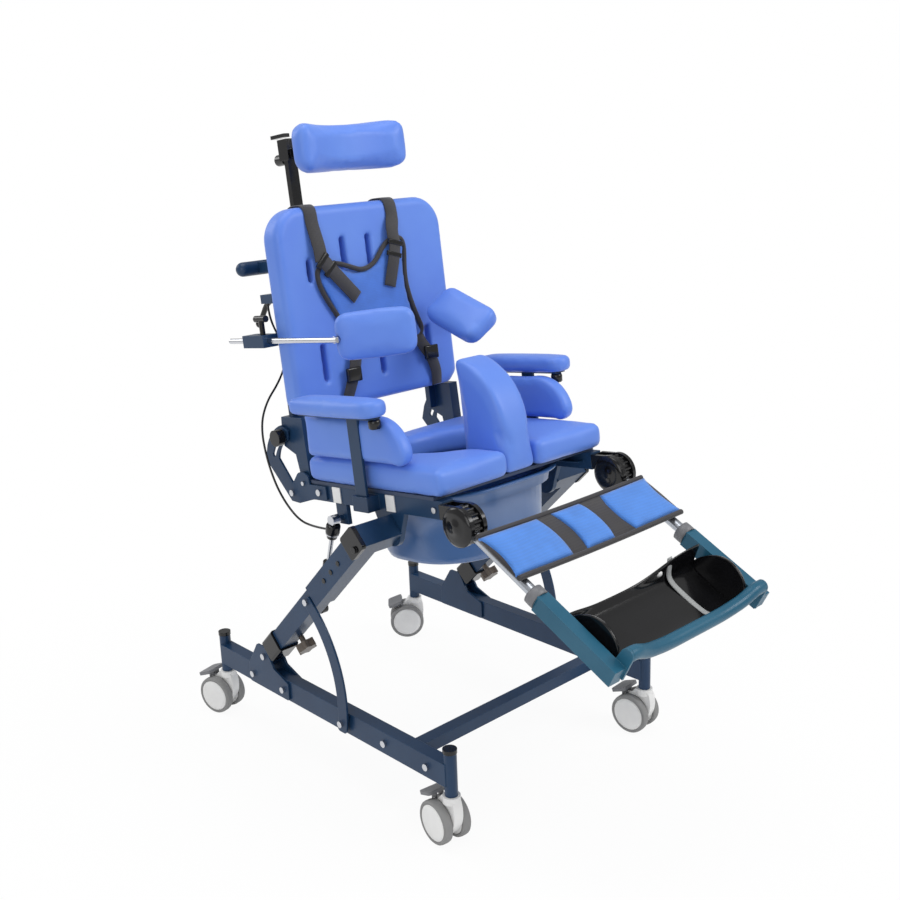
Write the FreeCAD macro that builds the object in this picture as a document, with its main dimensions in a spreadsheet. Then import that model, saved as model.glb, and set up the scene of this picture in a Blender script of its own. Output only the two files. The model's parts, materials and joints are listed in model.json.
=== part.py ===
import FreeCAD, Part
import math
import os
import re
import Sketcher

Vector = FreeCAD.Vector
doc = FreeCAD.newDocument("TiltShowerCommodeChair")

# Driving sizes in millimetres and degrees, with the floor at zero height and the front of the chair at -Y
SIZES = {
    "base_shift": 120,
    "track": 500,
    "wheelbase": 654,
    "castor_tall": 90,
    "post_dia": 22,
    "post_tall": 76,
    "rail_wide": 25,
    "rail_tall": 40,
    "rail_lift": 18,
    "cross_wide": 25,
    "cross_tall": 22,
    "cross_ahead": 235,
    "plate": 4,
    "gap": 0.5,
    "fit": 0.05,
    "wheel_dia": 75,
    "wheel_wide": 17,
    "hood_wide": 18,
    "trail": 20,
    "stem_dia": 12,
    "axle_dia": 8,
    "elbow_ahead": 140,
    "elbow_tall": 480,
    "leg_lean": 45,
    "leg_outer": 40,
    "leg_inner": 34,
    "upper_leg": 190,
    "lower_leg_top": 90,
    "lower_leg_end": 400,
    "tongue_end": 444,
    "collar_tall": 44,
    "collar_wide": 43,
    "stub_gap": 13,
    "lug_thick": 5,
    "tilt_pin_dia": 16,
    "seat_tilt": 6.5,
    "rail_inset": 70,
    "seat_rail_tall": 30,
    "seat_rail_low": 32,
    "seat_rail_front": 135,
    "seat_rail_rear": 205,
    "board_thick": 6,
    "seat_wide": 406,
    "seat_front": 140,
    "seat_rear": 210,
    "seat_thick": 44,
    "seat_round": 12,
    "hole_front": 60,
    "hole_rear": 140,
    "hole_wide": 170,
    "slot_wide": 76,
    "pommel_wide": 68,
    "pommel_top": 264,
    "pommel_rear": 22,
    "pommel_front": 130,
    "hub_ahead": 173,
    "hub_high": 27,
    "hub_radius": 33,
    "hub_wide": 34,
    "hub_link_tall": 24,
    "leg_drop": 27,
    "recline_back": 229,
    "recline_high": 61,
    "recline_reach": 94.6,
    "recline_mark": 61,
    "recline_travel": 30,
    "recline_bolt": 8,
    "back_lean": 6.7,
    "post_thick": 20,
    "back_wide": 385,
    "back_low": 120,
    "back_high": 482,
    "back_front": 17,
    "back_thick": 50,
    "back_round": 14,
    "back_corner": 57,
    "upright": 22,
    "upright_deep": 12,
    "upright_inset": 15,
    "bar_back": 110,
    "bar_high": 386,
    "bar_dia": 26,
    "bar_half": 200,
    "strap_wide": 28,
    "strap_thick": 2.5,
    "waist_wide": 28,
    "buckle_thick": 7,
    "rod_dia": 10,
    "rod_out": 15.5,
    "rod_high": 259,
    "rod_long": 324,
    "rod_slid_right": -10,
    "rod_slid_left": 85,
    "lateral_long": 134,
    "lateral_tall": 78,
    "lateral_thick": 34,
    "mast_back": 180,
    "mast_wide": 22,
    "mast_deep": 12,
    "mast_low": 300,
    "head_high": 582,
    "head_back": 52,
    "head_wide": 248,
    "head_tall": 88,
    "head_corner": 38,
    "arm_pad_wide": 54,
    "arm_pad_out": 11,
    "arm_pad_low": 198,
    "arm_pad_thick": 28,
    "arm_gap": 8,
    "socket_reach": 23,
    "arm_bar_thick": 5,
    "arm_bar_wide": 28,
    "arm_bar_back": 42,
    "side_pad_thick": 29,
    "hub_out": 3,
    "leg_tube_dia": 18,
    "foot_tube_wide": 24,
    "foot_tube_tall": 28,
    "foot_tube_start": 176,
    "foot_tube_end": 340,
    "foot_collar_long": 16,
    "bow_dia": 22,
    "tray_gap": 23,
    "tray_wall": 4,
    "gas_inset": 43,
    "gas_foot": 268,
    "gas_head_back": 137,
    "gas_head_high": 6,
    "gas_tube_dia": 20,
    "gas_rod_dia": 8,
    "gas_tube_long": 92,
    "cable_dia": 4,
    "pan_wide": 284,
    "pan_gap": 17,
    "pan_foot": 270,
    "pan_front": 94,
    "pan_rear": 168,
    "pan_deep": 80,
    "pan_wall": 3,
}
# Places across the chair that follow from the sizes
PLACES = {
    "seat_rail_x": "=track/2-rail_inset",
    "gas_x": "=track/2-gas_inset",
    "stub_end": "=seat_rail_x+stub_gap",
    "leg_tube_x": "=seat_rail_x+hub_out",
    "tray_half": "=leg_tube_x-tray_gap",
    "rod_x": "=back_wide/2+rod_out",
    "upright_x": "=seat_rail_x-upright_inset",
    "pan_rim": "=2*(seat_rail_x-pan_gap)",
    "arm_bar_x": "=max(seat_wide/2;seat_rail_x+socket_reach)+arm_gap",
    "arm_pad_x": "=arm_bar_x+arm_pad_out",
}

sheet = doc.addObject("Spreadsheet::Sheet", "Sizes")
for row, (name, value) in enumerate((SIZES | PLACES).items(), 1):
    sheet.set(f"A{row}", name)
    sheet.set(f"B{row}", str(value))
    sheet.setAlias(f"B{row}", name)
doc.recompute()

WORDS = {"sin", "cos", "atan", "sqrt", "deg", "placement", "vector"}
BASE = "placement(vector(0;base_shift;0);vector(1;0;0);0)"
LEG = "placement(vector(0;base_shift-elbow_ahead;elbow_tall);vector(1;0;0);leg_lean)"
SEAT = "placement(vector(0;base_shift-elbow_ahead;elbow_tall);vector(1;0;0);-seat_tilt)"
BACK = SEAT + " * placement(vector(0;recline_back;recline_high);vector(1;0;0);seat_tilt-back_lean)"
REST = SEAT + " * placement(vector(0;-hub_ahead;hub_high);vector(1;0;0);seat_tilt+leg_drop)"
GAS_BACK = "(gas_head_back*cos(seat_tilt)+gas_head_high*sin(seat_tilt)-gas_foot*sin(leg_lean))"
GAS_RISE = "(gas_head_high*cos(seat_tilt)-gas_head_back*sin(seat_tilt)+gas_foot*cos(leg_lean))"
GAS_LONG = f"sqrt({GAS_BACK}^2+{GAS_RISE}^2)"
GAS_TURN = f"atan2(-{GAS_BACK};{GAS_RISE})/(1 deg)-leg_lean"
GAS = LEG + f" * placement(vector(0;0;-gas_foot);vector(1;0;0);{GAS_TURN})"
LEFT = Vector(1, 0, 0)


def size(name):
    return float(sheet.get(name))


def bound(text):
    """Expression text with every size name pointed at the sheet."""
    return re.sub(
        r"[a-z_]+", lambda m: m.group(0) if m.group(0) in WORDS else "Sizes." + m.group(0), str(text)
    )


def value(text):
    """The number that an expression of sizes stands for now."""
    helper = doc.getObject("Reckoner") or doc.addObject("App::FeaturePython", "Reckoner")
    if "Result" not in helper.PropertiesList:
        helper.addProperty("App::PropertyFloat", "Result")
    helper.setExpression("Result", bound(text))
    helper.recompute()
    return helper.Result


def frame_of(text):
    """A frame's placement as numbers, for shapes that are built from points."""
    helper = doc.getObject("FrameReckoner") or doc.addObject("Part::Feature", "FrameReckoner")
    helper.setExpression("Placement", bound(text))
    helper.recompute()
    return helper.Placement


def put(part, frame, at=("0", "0", "0"), turn="vector(1;0;0);0"):
    x, y, z = at
    part.setExpression("Placement", bound(f"{frame} * placement(vector({x};{y};{z});{turn})"))


def box(name, frame, sizes, centre):
    part = doc.addObject("Part::Box", name)
    for side, text in zip(("Length", "Width", "Height"), sizes):
        part.setExpression(side, bound(text))
    put(part, frame, [f"({c})-({s})/2" for c, s in zip(centre, sizes)])
    return part


def rod(name, frame, axis, radius, length, centre):
    """A cylinder centred on a point, along one axis of its frame."""
    part = doc.addObject("Part::Cylinder", name)
    part.setExpression("Radius", bound(radius))
    part.setExpression("Height", bound(length))
    spot = [f"({c})-({length})/2" if letter == axis else c for c, letter in zip(centre, "xyz")]
    turn = {"x": "vector(0;1;0);90", "y": "vector(1;0;0);-90", "z": "vector(1;0;0);0"}[axis]
    put(part, frame, spot, turn)
    return part


def ball(name, frame, radius, centre):
    part = doc.addObject("Part::Sphere", name)
    part.setExpression("Radius", bound(radius))
    put(part, frame, centre)
    return part


def fuse(name, *parts):
    whole = doc.addObject("Part::MultiFuse", name)
    whole.Shapes = list(parts)
    return whole


def cut(name, base, *tools):
    whole = doc.addObject("Part::Cut", name)
    whole.Base = base
    whole.Tool = tools[0] if len(tools) == 1 else fuse(name + "_tools", *tools)
    return whole


def overlap(name, base, tool):
    """What two solids have in common."""
    whole = doc.addObject("Part::Common", name)
    whole.Base = base
    whole.Tool = tool
    return whole


def gather(name, *parts):
    whole = doc.addObject("Part::Compound", name)
    whole.Links = list(parts)
    return whole


def mirrored(part):
    twin = doc.addObject("Part::Mirroring", part.Name + "_twin")
    twin.Source = part
    twin.Normal = LEFT
    return twin


def both_sides(name, *parts):
    return gather(name, *[p for part in parts for p in (part, mirrored(part))])


def outline(sketch, points):
    """Closed outline of lines and arcs; a point with a third entry starts an arc through that spot."""
    spots = [Vector(value(p[0]), value(p[1]), 0) for p in points]
    ends = []
    for i, point in enumerate(points):
        start, stop = spots[i], spots[(i + 1) % len(points)]
        if len(point) == 2:
            edge = sketch.addGeometry(Part.LineSegment(start, stop), False)
            ends.append((edge, 1, 2))
            continue
        through = Vector(value(point[2][0]), value(point[2][1]), 0)
        edge = sketch.addGeometry(Part.Arc(start, through, stop), False)
        forward = sketch.getPoint(edge, 1).distanceToPoint(start) < 1e-6
        ends.append((edge, 1, 2) if forward else (edge, 2, 1))
        mark = sketch.addGeometry(Part.Point(through), True)
        pin(sketch, mark, 1, point[2])
        sketch.addConstraint(Sketcher.Constraint("PointOnObject", mark, 1, edge))
    for i, (edge, first, last) in enumerate(ends):
        after, after_first, _ = ends[(i + 1) % len(ends)]
        sketch.addConstraint(Sketcher.Constraint("Coincident", edge, last, after, after_first))
        pin(sketch, edge, first, points[i])


def pin(sketch, edge, end, spot):
    for kind, text in zip(("DistanceX", "DistanceY"), spot):
        which = sketch.addConstraint(Sketcher.Constraint(kind, -1, 1, edge, end, value(text)))
        sketch.setExpression(f"Constraints[{which}]", bound(text))


def sketch_on(body, role, name):
    sketch = body.newObject("Sketcher::SketchObject", name)
    plane = [o for o in body.Origin.OriginFeatures if o.Role == role][0]
    sketch.AttachmentSupport = (plane, "")
    sketch.MapMode = "FlatFace"
    return sketch


def slab(name, frame, role, points, thick, at=("0", "0", "0"), corners=None, edges=None, turn=None,
         holes=()):
    """A plate or pad: an outline padded evenly both ways from its plane, then rounded."""
    body = doc.addObject("PartDesign::Body", name)
    sketch = sketch_on(body, role, name + "_outline")
    for loop in (points, *holes):
        outline(sketch, loop)
    doc.recompute()
    pad = body.newObject("PartDesign::Pad", name + "_pad")
    pad.Profile = sketch
    pad.SideType = "Symmetric"
    pad.setExpression("Length", bound(thick))
    doc.recompute()
    last = pad
    if corners:
        across = {"XY_Plane": Vector(0, 0, 1), "XZ_Plane": Vector(0, 1, 0), "YZ_Plane": LEFT}[role]
        names = [
            f"Edge{i}"
            for i, e in enumerate(pad.Shape.Edges, 1)
            if isinstance(e.Curve, Part.Line) and abs(e.Curve.Direction.dot(across)) > 0.99
        ]
        last = rounded(body, last, name + "_corners", corners, names)
    if edges:
        last = rounded(body, last, name + "_edges", edges, None)
    put(body, frame, at, turn or "vector(1;0;0);0")
    return body


def rounded(body, base, name, radius, names):
    fillet = body.newObject("PartDesign::Fillet", name)
    fillet.Base = (base, names or [""])
    fillet.UseAllEdges = names is None
    fillet.setExpression("Radius", bound(radius))
    doc.recompute()
    return fillet


def rectangle(x_low, x_high, y_low, y_high):
    return [(x_low, y_low), (x_high, y_low), (x_high, y_high), (x_low, y_high)]


def bend_route(spots):
    """Straight runs joined by tangent arcs, as one wire, with the tightest arc's radius."""
    edges = []
    radii = []
    here = spots[0]
    for before, corner, after in zip(spots, spots[1:], spots[2:]):
        back = (before - corner).normalize()
        ahead = (after - corner).normalize()
        turn = math.pi - back.getAngle(ahead)
        reach = 0.45 * min((before - corner).Length, (after - corner).Length)
        radii.append(reach / math.tan(turn / 2))
        start, stop = corner + back * reach, corner + ahead * reach
        middle = (back + ahead).normalize()
        hub = corner + middle * (radii[-1] / math.cos(turn / 2))
        edges.append(Part.makeLine(here, start))
        edges.append(Part.Arc(start, hub - middle * radii[-1], stop).toShape())
        here = stop
    edges.append(Part.makeLine(here, spots[-1]))
    return Part.Wire(edges), radii


def pipe(name, frame, radius, points):
    """A round tube along a bent route given in a frame."""
    spots = [Vector(*[value(c) for c in p]) for p in points]
    wire, radii = bend_route(spots)
    ring = Part.Wire(Part.makeCircle(value(radius), spots[0], spots[1] - spots[0]))
    part = doc.addObject("Part::Feature", name)
    part.Shape = wire.makePipeShell([ring], True, True)
    part.Placement = frame_of(frame)
    print(name, "route", round(wire.Length, 1), "tightest bend", round(min(radii), 1))
    return part


# Base: two side rails with a caster post at each end, joined by one cross tube
rail_mid = "castor_tall+rail_lift+rail_tall/2"
rail = box("rail", BASE, ("rail_wide", "wheelbase", "rail_tall"), ("-track/2", "0", rail_mid))
posts = [
    rod(f"post_{end}", BASE, "z", "post_dia/2", "post_tall",
        ("-track/2", f"{sign}wheelbase/2", "castor_tall+post_tall/2"))
    for end, sign in (("front", "-"), ("rear", ""))
]
stem_bores = [
    rod(f"stem_bore_{end}", BASE, "z", "stem_dia/2+fit", "60",
        ("-track/2", f"{sign}wheelbase/2", "castor_tall"))
    for end, sign in (("front", "-"), ("rear", ""))
]
both_sides("base_rails", cut("side_frame", fuse("rail_and_posts", rail, *posts), *stem_bores))
box("base_cross_tube", BASE, ("track-rail_wide", "cross_wide", "cross_tall"),
    ("0", "-cross_ahead", rail_mid + "+4"))

# Legs: each leans forward from a pair of gusset plates, with a collar at its foot
gusset_points = [
    ("218", "110"), ("218", "147"), ("186", "196"), ("158", "196"), ("136", "160"), ("92", "144"),
    ("92", "110"),
]
gussets = [
    slab(f"gusset_{side}", BASE, "YZ_Plane", gusset_points, "plate",
         (f"-track/2{sign}(rail_wide+plate)/2", "0", "0"), corners="5")
    for side, sign in (("outer", "-"), ("inner", "+"))
]
both_sides("leg_gussets", *gussets)

leg_middle = "-(lower_leg_top+lower_leg_end)/2"
leg_length = "lower_leg_end-lower_leg_top"
leg_skin = box("leg_skin", LEG, ("leg_inner", "leg_inner", leg_length), ("-track/2", "0", leg_middle))
leg_hollow = box("leg_hollow", LEG, ("leg_inner-6", "leg_inner-6", leg_length),
                 ("-track/2", "0", leg_middle + "+20"))
tongue = box("tongue", LEG, ("rail_wide-gap", "leg_inner", "tongue_end-lower_leg_end+10"),
             ("-track/2", "0", "-(tongue_end+lower_leg_end-10)/2"))
both_sides("lower_legs", fuse("lower_leg", cut("lower_tube", leg_skin, leg_hollow), tongue))

collar_at = ("-track/2", "0", "-lower_leg_end+collar_tall/2-6")
collar_block = slab("collar_block", LEG, "XY_Plane",
                    rectangle("-collar_wide/2", "collar_wide/2", "-collar_wide/2", "collar_wide/2"),
                    "collar_tall", collar_at, corners="6")
collar_hole = box("collar_hole", LEG, ("leg_inner", "leg_inner", "collar_tall"),
                  ("-track/2", "0", "-lower_leg_end+collar_tall/2"))
collar_slot = box("collar_slot", LEG, ("rail_wide-gap", "leg_inner", "collar_tall"),
                  ("-track/2", "0", "-lower_leg_end"))
post_caps = [
    rod(f"post_cap_{end}", BASE, "z", "post_dia/2+1", "7",
        ("-track/2", f"{sign}wheelbase/2", "castor_tall+post_tall+3.5"))
    for end, sign in (("front", "-"), ("rear", ""))
]
both_sides("base_caps", cut("leg_collar", collar_block, collar_hole, collar_slot), *post_caps)

brace_points = [
    ("2", "346", ("-72", "248")), ("-84", "112"), ("-60", "112", ("-50", "238")), ("20", "331"),
]
brace_x = "-track/2-leg_inner/2-gap-plate/2"
both_sides("leg_braces", slab("leg_brace", BASE, "YZ_Plane", brace_points, "plate", (brace_x, "0", "0"),
                              corners="6"))

rail_face = "-track/2-rail_wide/2"
bolt_spots = [
    ("gusset_top", rail_face + "-plate", "164", "177"),
    ("gusset_rear", rail_face + "-plate", "205", rail_mid),
    ("gusset_front", rail_face + "-plate", "108", rail_mid),
    ("brace_top", brace_x + "-plate/2", "6", "334"),
    ("brace_foot", brace_x + "-plate/2", "-72", rail_mid),
    ("rail_middle", rail_face, "-178", rail_mid),
    ("rail_front", rail_face, "-284", rail_mid),
]
bolt_heads = [rod("bolt_" + n, BASE, "x", "6", "5", (x + "-2.5", y, z)) for n, x, y, z in bolt_spots]
brace_spacer = rod("brace_spacer", BASE, "x", "7", "leg_inner/2+gap-rail_wide/2",
                   ("-track/2-(rail_wide+leg_inner+gap*2)/4", "-72", rail_mid))
both_sides("base_bolts", *bolt_heads, brace_spacer)

# Upper legs: tubes that slide on the lower legs, with a stub to the seat and a lug for the gas spring
upper_middle = "(leg_outer/2-upper_leg)/2"
upper_skin = box("upper_skin", LEG, ("leg_outer", "leg_outer", "upper_leg+leg_outer/2"),
                 ("-track/2", "0", upper_middle))
upper_hollow = box("upper_hollow", LEG, ("leg_inner+fit*2", "leg_inner+fit*2", "upper_leg-leg_outer"),
                   ("-track/2", "0", "-(upper_leg+leg_outer)/2"))
stub = box("stub", LEG, ("track/2+leg_outer/2-stub_end", "leg_outer", "leg_outer"),
           ("-(track/2+leg_outer/2+stub_end)/2", "0", "0"))
pin_bore = rod("pin_bore", LEG, "x", "tilt_pin_dia/2+fit", "100", ("-stub_end", "0", "0"))
plain_leg = cut("plain_leg", fuse("leg_and_stub", upper_skin, stub), upper_hollow, pin_bore)
leg_face = "(track/2-leg_outer/2)"
lug = box("lug", LEG, ("lug_thick", "26", "gas_foot-100"),
          (f"-{leg_face}+lug_thick/2", "0", "-(gas_foot+124)/2"))
gas_pin = rod("gas_pin", LEG, "x", "gas_rod_dia/2", f"{leg_face}-lug_thick-gas_x+7",
              (f"-({leg_face}-lug_thick+gas_x-7)/2", "0", "-gas_foot"))
gather("upper_legs", plain_leg, mirrored(plain_leg), lug, gas_pin)
cap_plate = slab("cap_plate", LEG, "YZ_Plane", rectangle("-22", "22", "-22", "22"), "8",
                 ("-track/2-leg_outer/2-4", "0", "0"), corners="6")
cap_bolt = rod("cap_bolt", LEG, "x", "6", "4", ("-track/2-leg_outer/2-10", "-12", "0"))
hole_plugs = [
    rod(f"hole_plug_{i}", LEG, "x", "4.5", "1.5", ("-track/2-leg_outer/2-0.75", "0", f"-{70 + 30 * i}"))
    for i in range(3)
]
both_sides("elbow_caps", cap_plate, cap_bolt, *hole_plugs)

# Height knobs: a star knob on the front face of each lower leg
star_points = []
for i in range(6):
    for radius, step in (("21", 0), ("14", 30)):
        angle = 60 * i + step
        star_points.append((f"{radius}*cos({angle})", f"{radius}*sin({angle})"))
star = slab("star", LEG, "XZ_Plane", star_points, "15", ("-track/2+14", "-leg_inner/2-21", "-332"),
            corners="2.5")
shank = rod("shank", LEG, "y", "5", "12.5", ("-track/2+14", "-leg_inner/2-7", "-332"))
knob = fuse("height_knob_right", star, shank)
mirrored(knob).Label = "height_knob_left"

# Seat frame: two rails that turn on the leg stubs
seat_rail_mid = "seat_rail_low+seat_rail_tall/2"
seat_rail = box("seat_rail", SEAT, ("rail_wide", "seat_rail_rear+seat_rail_front", "seat_rail_tall"),
                ("-seat_rail_x", "(seat_rail_rear-seat_rail_front)/2", seat_rail_mid))
hanger_points = [
    ("-40", "seat_rail_low+2"), ("-22", "-10", ("0", "-28")), ("22", "-10"), ("40", "seat_rail_low+2"),
]
hanger = slab("hanger", SEAT, "YZ_Plane", hanger_points, "10", ("-seat_rail_x-rail_wide/2+5", "0", "0"))
tilt_pin = rod("tilt_pin", SEAT, "x", "tilt_pin_dia/2", "46", ("-stub_end-16", "0", "0"))
gas_tab = box("gas_tab", SEAT, ("8", "30", "seat_rail_low-gas_head_high+14"),
              ("-seat_rail_x-4", "gas_head_back", "(seat_rail_low+gas_head_high-10)/2"))
gas_stud = rod("gas_stud", SEAT, "x", "5", "gas_x-seat_rail_x-8-gap", ("-(gas_x+seat_rail_x-8-gap)/2",
               "gas_head_back", "gas_head_high"))
socket_block = box("socket_block", SEAT, ("arm_bar_x+7-seat_rail_x-rail_wide/2", "arm_bar_wide+12", "26"),
                   ("-(arm_bar_x+7+seat_rail_x+rail_wide/2)/2", "arm_bar_back", "seat_rail_low+14"))
socket_slot = box("socket_slot", SEAT, ("arm_bar_thick+gap*2", "arm_bar_wide+gap*2", "60"),
                  ("-arm_bar_x", "arm_bar_back", "seat_rail_low+14"))
pan_runner = "seat_rail_low+14"
runner = box("runner", SEAT, ("13", "250", "2"), ("-seat_rail_x+rail_wide/2+6.5", "10", pan_runner))
plain_side = cut("plain_side", fuse("side_solid", seat_rail, hanger, tilt_pin, socket_block, runner),
                 socket_slot)
gather("seat_rails", fuse("side_with_tab", plain_side, gas_tab, gas_stud), mirrored(plain_side))

plate_points = [
    ("165", "60"), ("165", "36"), ("206", "33"), ("250", "22"), ("274", "24"), ("340", "98"),
    ("330", "124", ("310", "148")), ("280", "164"), ("258", "156"), ("262", "138", ("286", "124")),
    ("298", "102"),
    ("264", "58"), ("246", "77", ("229", "81")), ("seat_rear+4", "74"), ("seat_rear+2", "60"),
]
pivot_hole = [
    ("recline_back-recline_bolt/2-fit", "recline_high", ("recline_back", "recline_high+recline_bolt/2+fit")),
    ("recline_back+recline_bolt/2+fit", "recline_high", ("recline_back", "recline_high-recline_bolt/2-fit")),
]


def on_arc(radius, angle):
    return (f"recline_back+({radius})*cos({angle})", f"recline_high+({radius})*sin({angle})")


slot_half = "(recline_bolt/2+gap)"
slot_end = "(recline_mark-recline_travel-1)"
slot_start = "(recline_mark+1)"
slot_middle = "(recline_mark-recline_travel/2)"
slot_points = [
    (*on_arc("recline_reach+" + slot_half, slot_start),
     on_arc("recline_reach+" + slot_half, slot_middle)),
    (*on_arc("recline_reach+" + slot_half, slot_end), on_arc("recline_reach", f"{slot_end}-2.7")),
    (*on_arc("recline_reach-" + slot_half, slot_end), on_arc("recline_reach-" + slot_half, slot_middle)),
    (*on_arc("recline_reach-" + slot_half, slot_start), on_arc("recline_reach", f"{slot_start}+2.7")),
]
outer_plate = slab("outer_plate", SEAT, "YZ_Plane", plate_points, "plate",
                   ("-seat_rail_x-(rail_wide+plate)/2", "0", "0"), holes=[slot_points, pivot_hole])
inner_plate = slab("inner_plate", SEAT, "YZ_Plane",
                   [("165", "60"), ("165", "36"), ("206", "33"), ("250", "40"),
                    ("250", "72", ("229", "84")), ("seat_rear+4", "72"), ("seat_rear+2", "60")],
                   "plate", ("-seat_rail_x+(rail_wide+plate)/2", "0", "0"), holes=[pivot_hole])
both_sides("recline_brackets", outer_plate, inner_plate)

board_low = "seat_rail_low+seat_rail_tall"


def seat_outline(half):
    """The seat seen from above: a slot in the front edge leads into the open hole."""
    return [
        (f"-({half})", "-seat_front"), ("-slot_wide/2", "-seat_front"), ("-slot_wide/2", "-hole_front"),
        ("-hole_wide/2", "-hole_front+30", ("0", "hole_rear")), ("hole_wide/2", "-hole_front+30"),
        ("slot_wide/2", "-hole_front"), ("slot_wide/2", "-seat_front"), (half, "-seat_front"),
        (half, "seat_rear"), (f"-({half})", "seat_rear"),
    ]


board_half = "seat_rail_x+rail_wide/2+1"
board_hole = [
    ("-slot_wide/2", "-hole_front"), ("-hole_wide/2", "-hole_front+30", ("0", "hole_rear")),
    ("hole_wide/2", "-hole_front+30"), ("slot_wide/2", "-hole_front"),
]
slab("seat_board", SEAT, "XY_Plane",
     rectangle(f"-({board_half})", board_half, "-seat_front+22", "seat_rear"),
     "board_thick", ("0", "0", f"{board_low}+board_thick/2"), holes=[board_hole])
slab("seat_pad", SEAT, "XY_Plane", seat_outline("seat_wide/2"), "seat_thick",
     ("0", "0", f"{board_low}+board_thick+seat_thick/2"), edges="seat_round")

seat_face = "-seat_rail_x-rail_wide/2"
clips = [
    box(f"clip_{i}", SEAT, ("2", "22", "seat_rail_tall-2"), (seat_face + "-1", spot, seat_rail_mid))
    for i, spot in enumerate(("138", "-8"))
]
both_sides("seat_clips", *clips)
front_bolt = rod("front_bolt", SEAT, "x", "5", "4",
                 (seat_face + "-2", "-seat_rail_front+18", seat_rail_mid))
plate_bolts = [
    rod(f"plate_bolt_{i}", SEAT, "x", "6", "4", (seat_face + "-plate-2", y, z))
    for i, (y, z) in enumerate((("185", "48"), ("268", "40")))
]
pivot_pin = rod("pivot_pin", SEAT, "x", "recline_bolt/2", "rail_wide+plate*2+8",
                ("-seat_rail_x", "recline_back", "recline_high"))
both_sides("seat_bolts", front_bolt, *plate_bolts, pivot_pin)

# Legrest joints: two fixed cheeks a side with a turning disc between them
cheek_thick = "hub_wide/2-leg_tube_dia/2-gap"
cheek_out = "(hub_wide/2+leg_tube_dia/2+gap)/2"
hub_foot = box("hub_foot", SEAT, ("hub_wide", "plate", "hub_link_tall"),
               ("-leg_tube_x", "-seat_rail_front-plate/2", seat_rail_mid))
cheeks = []
for side, sign in (("outer", "-"), ("inner", "+")):
    across = f"-leg_tube_x{sign}{cheek_out}"
    cheeks += [
        rod(f"cheek_{side}", SEAT, "x", "hub_radius", cheek_thick, (across, "-hub_ahead", "hub_high")),
        box(f"hub_link_{side}", SEAT, (cheek_thick, "hub_ahead-seat_rail_front", "hub_link_tall"),
            (across, "-(hub_ahead+seat_rail_front)/2", seat_rail_mid)),
    ]
hub_pin = rod("hub_pin", SEAT, "x", "6", "hub_wide+4", ("-leg_tube_x", "-hub_ahead", "hub_high"))
both_sides("legrest_hubs", fuse("hub_fixed", hub_foot, *cheeks, hub_pin))

disc = rod("disc", REST, "x", "hub_radius-5", "leg_tube_dia-2", ("-leg_tube_x", "0", "0"))
leg_tube = rod("leg_tube", REST, "y", "leg_tube_dia/2", "235", ("-leg_tube_x", "-127", "0"))
disc_bore = rod("disc_bore", REST, "x", "6+fit", "40", ("-leg_tube_x", "0", "0"))
both_sides("legrest_tubes", cut("legrest_side", fuse("legrest_solid", disc, leg_tube), disc_bore))
strap_band = slab("strap_band", REST, "YZ_Plane",
                  [("-138", "10"), ("-42", "10"), ("-42", "15"), ("-138", "15")], "leg_tube_x*2+34",
                  corners="2")
calf_pads = [
    slab(f"calf_pad_{n}", REST, "XY_Plane", rectangle(low, high, "-134", "-46"), "9",
         ("0", "0", "19.7"), corners="8",
         edges="3")
    for n, low, high in (("right", "-204", "-72"), ("middle", "-34", "36"), ("left", "72", "204"))
]
gather("calf_strap", strap_band, *calf_pads)

# Foot frame: outer tubes that slide on the legrest tubes, a bowed tube and a tray that fold up together
tube_mid = "-(foot_tube_start+foot_tube_end)/2"
foot_skin = box("foot_skin", REST, ("foot_tube_wide", "foot_tube_end-foot_tube_start", "foot_tube_tall"),
                ("-leg_tube_x", tube_mid, "leg_tube_dia/2+2-foot_tube_tall/2"))
foot_bore = rod("foot_bore", REST, "y", "leg_tube_dia/2+fit",
                "foot_tube_end-foot_tube_start+foot_collar_long-10",
                ("-leg_tube_x", tube_mid + "+foot_collar_long/2+7", "0"))
foot_collar = rod("foot_collar", REST, "y", "16", "foot_collar_long",
                  ("-leg_tube_x", "-foot_tube_start+foot_collar_long/2", "-2"))
ear = slab("ear", REST, "YZ_Plane",
           [("-343", "-12"), ("-343", "28", ("-332", "39")), ("-321", "28"), ("-316", "-12")], "4",
           ("-leg_tube_x+foot_tube_wide/2+2", "0", "0"))
ear_pin = rod("ear_pin", REST, "x", "4", "18", ("-leg_tube_x+foot_tube_wide/2+9", "-332", "28"))
both_sides("foot_tubes", cut("foot_side", fuse("foot_solid", foot_skin, foot_collar, ear, ear_pin),
                             foot_bore))

bow_end = "leg_tube_x-foot_tube_wide/2-4-gap"
bow_route = [
    (f"-({bow_end})", "-332", "28"), (f"-({bow_end})+16", "-332", "28"), ("-120", "-334", "16"),
    ("-70", "-334", "8"), ("70", "-334", "8"), ("120", "-334", "16"), (f"({bow_end})-16", "-332", "28"),
    (f"({bow_end})", "-332", "28"),
]
bow_tube = pipe("bow_tube", REST, "bow_dia/2", bow_route)
ends = [
    rod(f"bow_bore_{s}", REST, "x", "4+fit", "40", (f"{sign}(leg_tube_x-foot_tube_wide/2)", "-332", "28"))
    for s, sign in (("right", "-"), ("left", ""))
]
cut("foot_bow", bow_tube, *ends)

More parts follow.
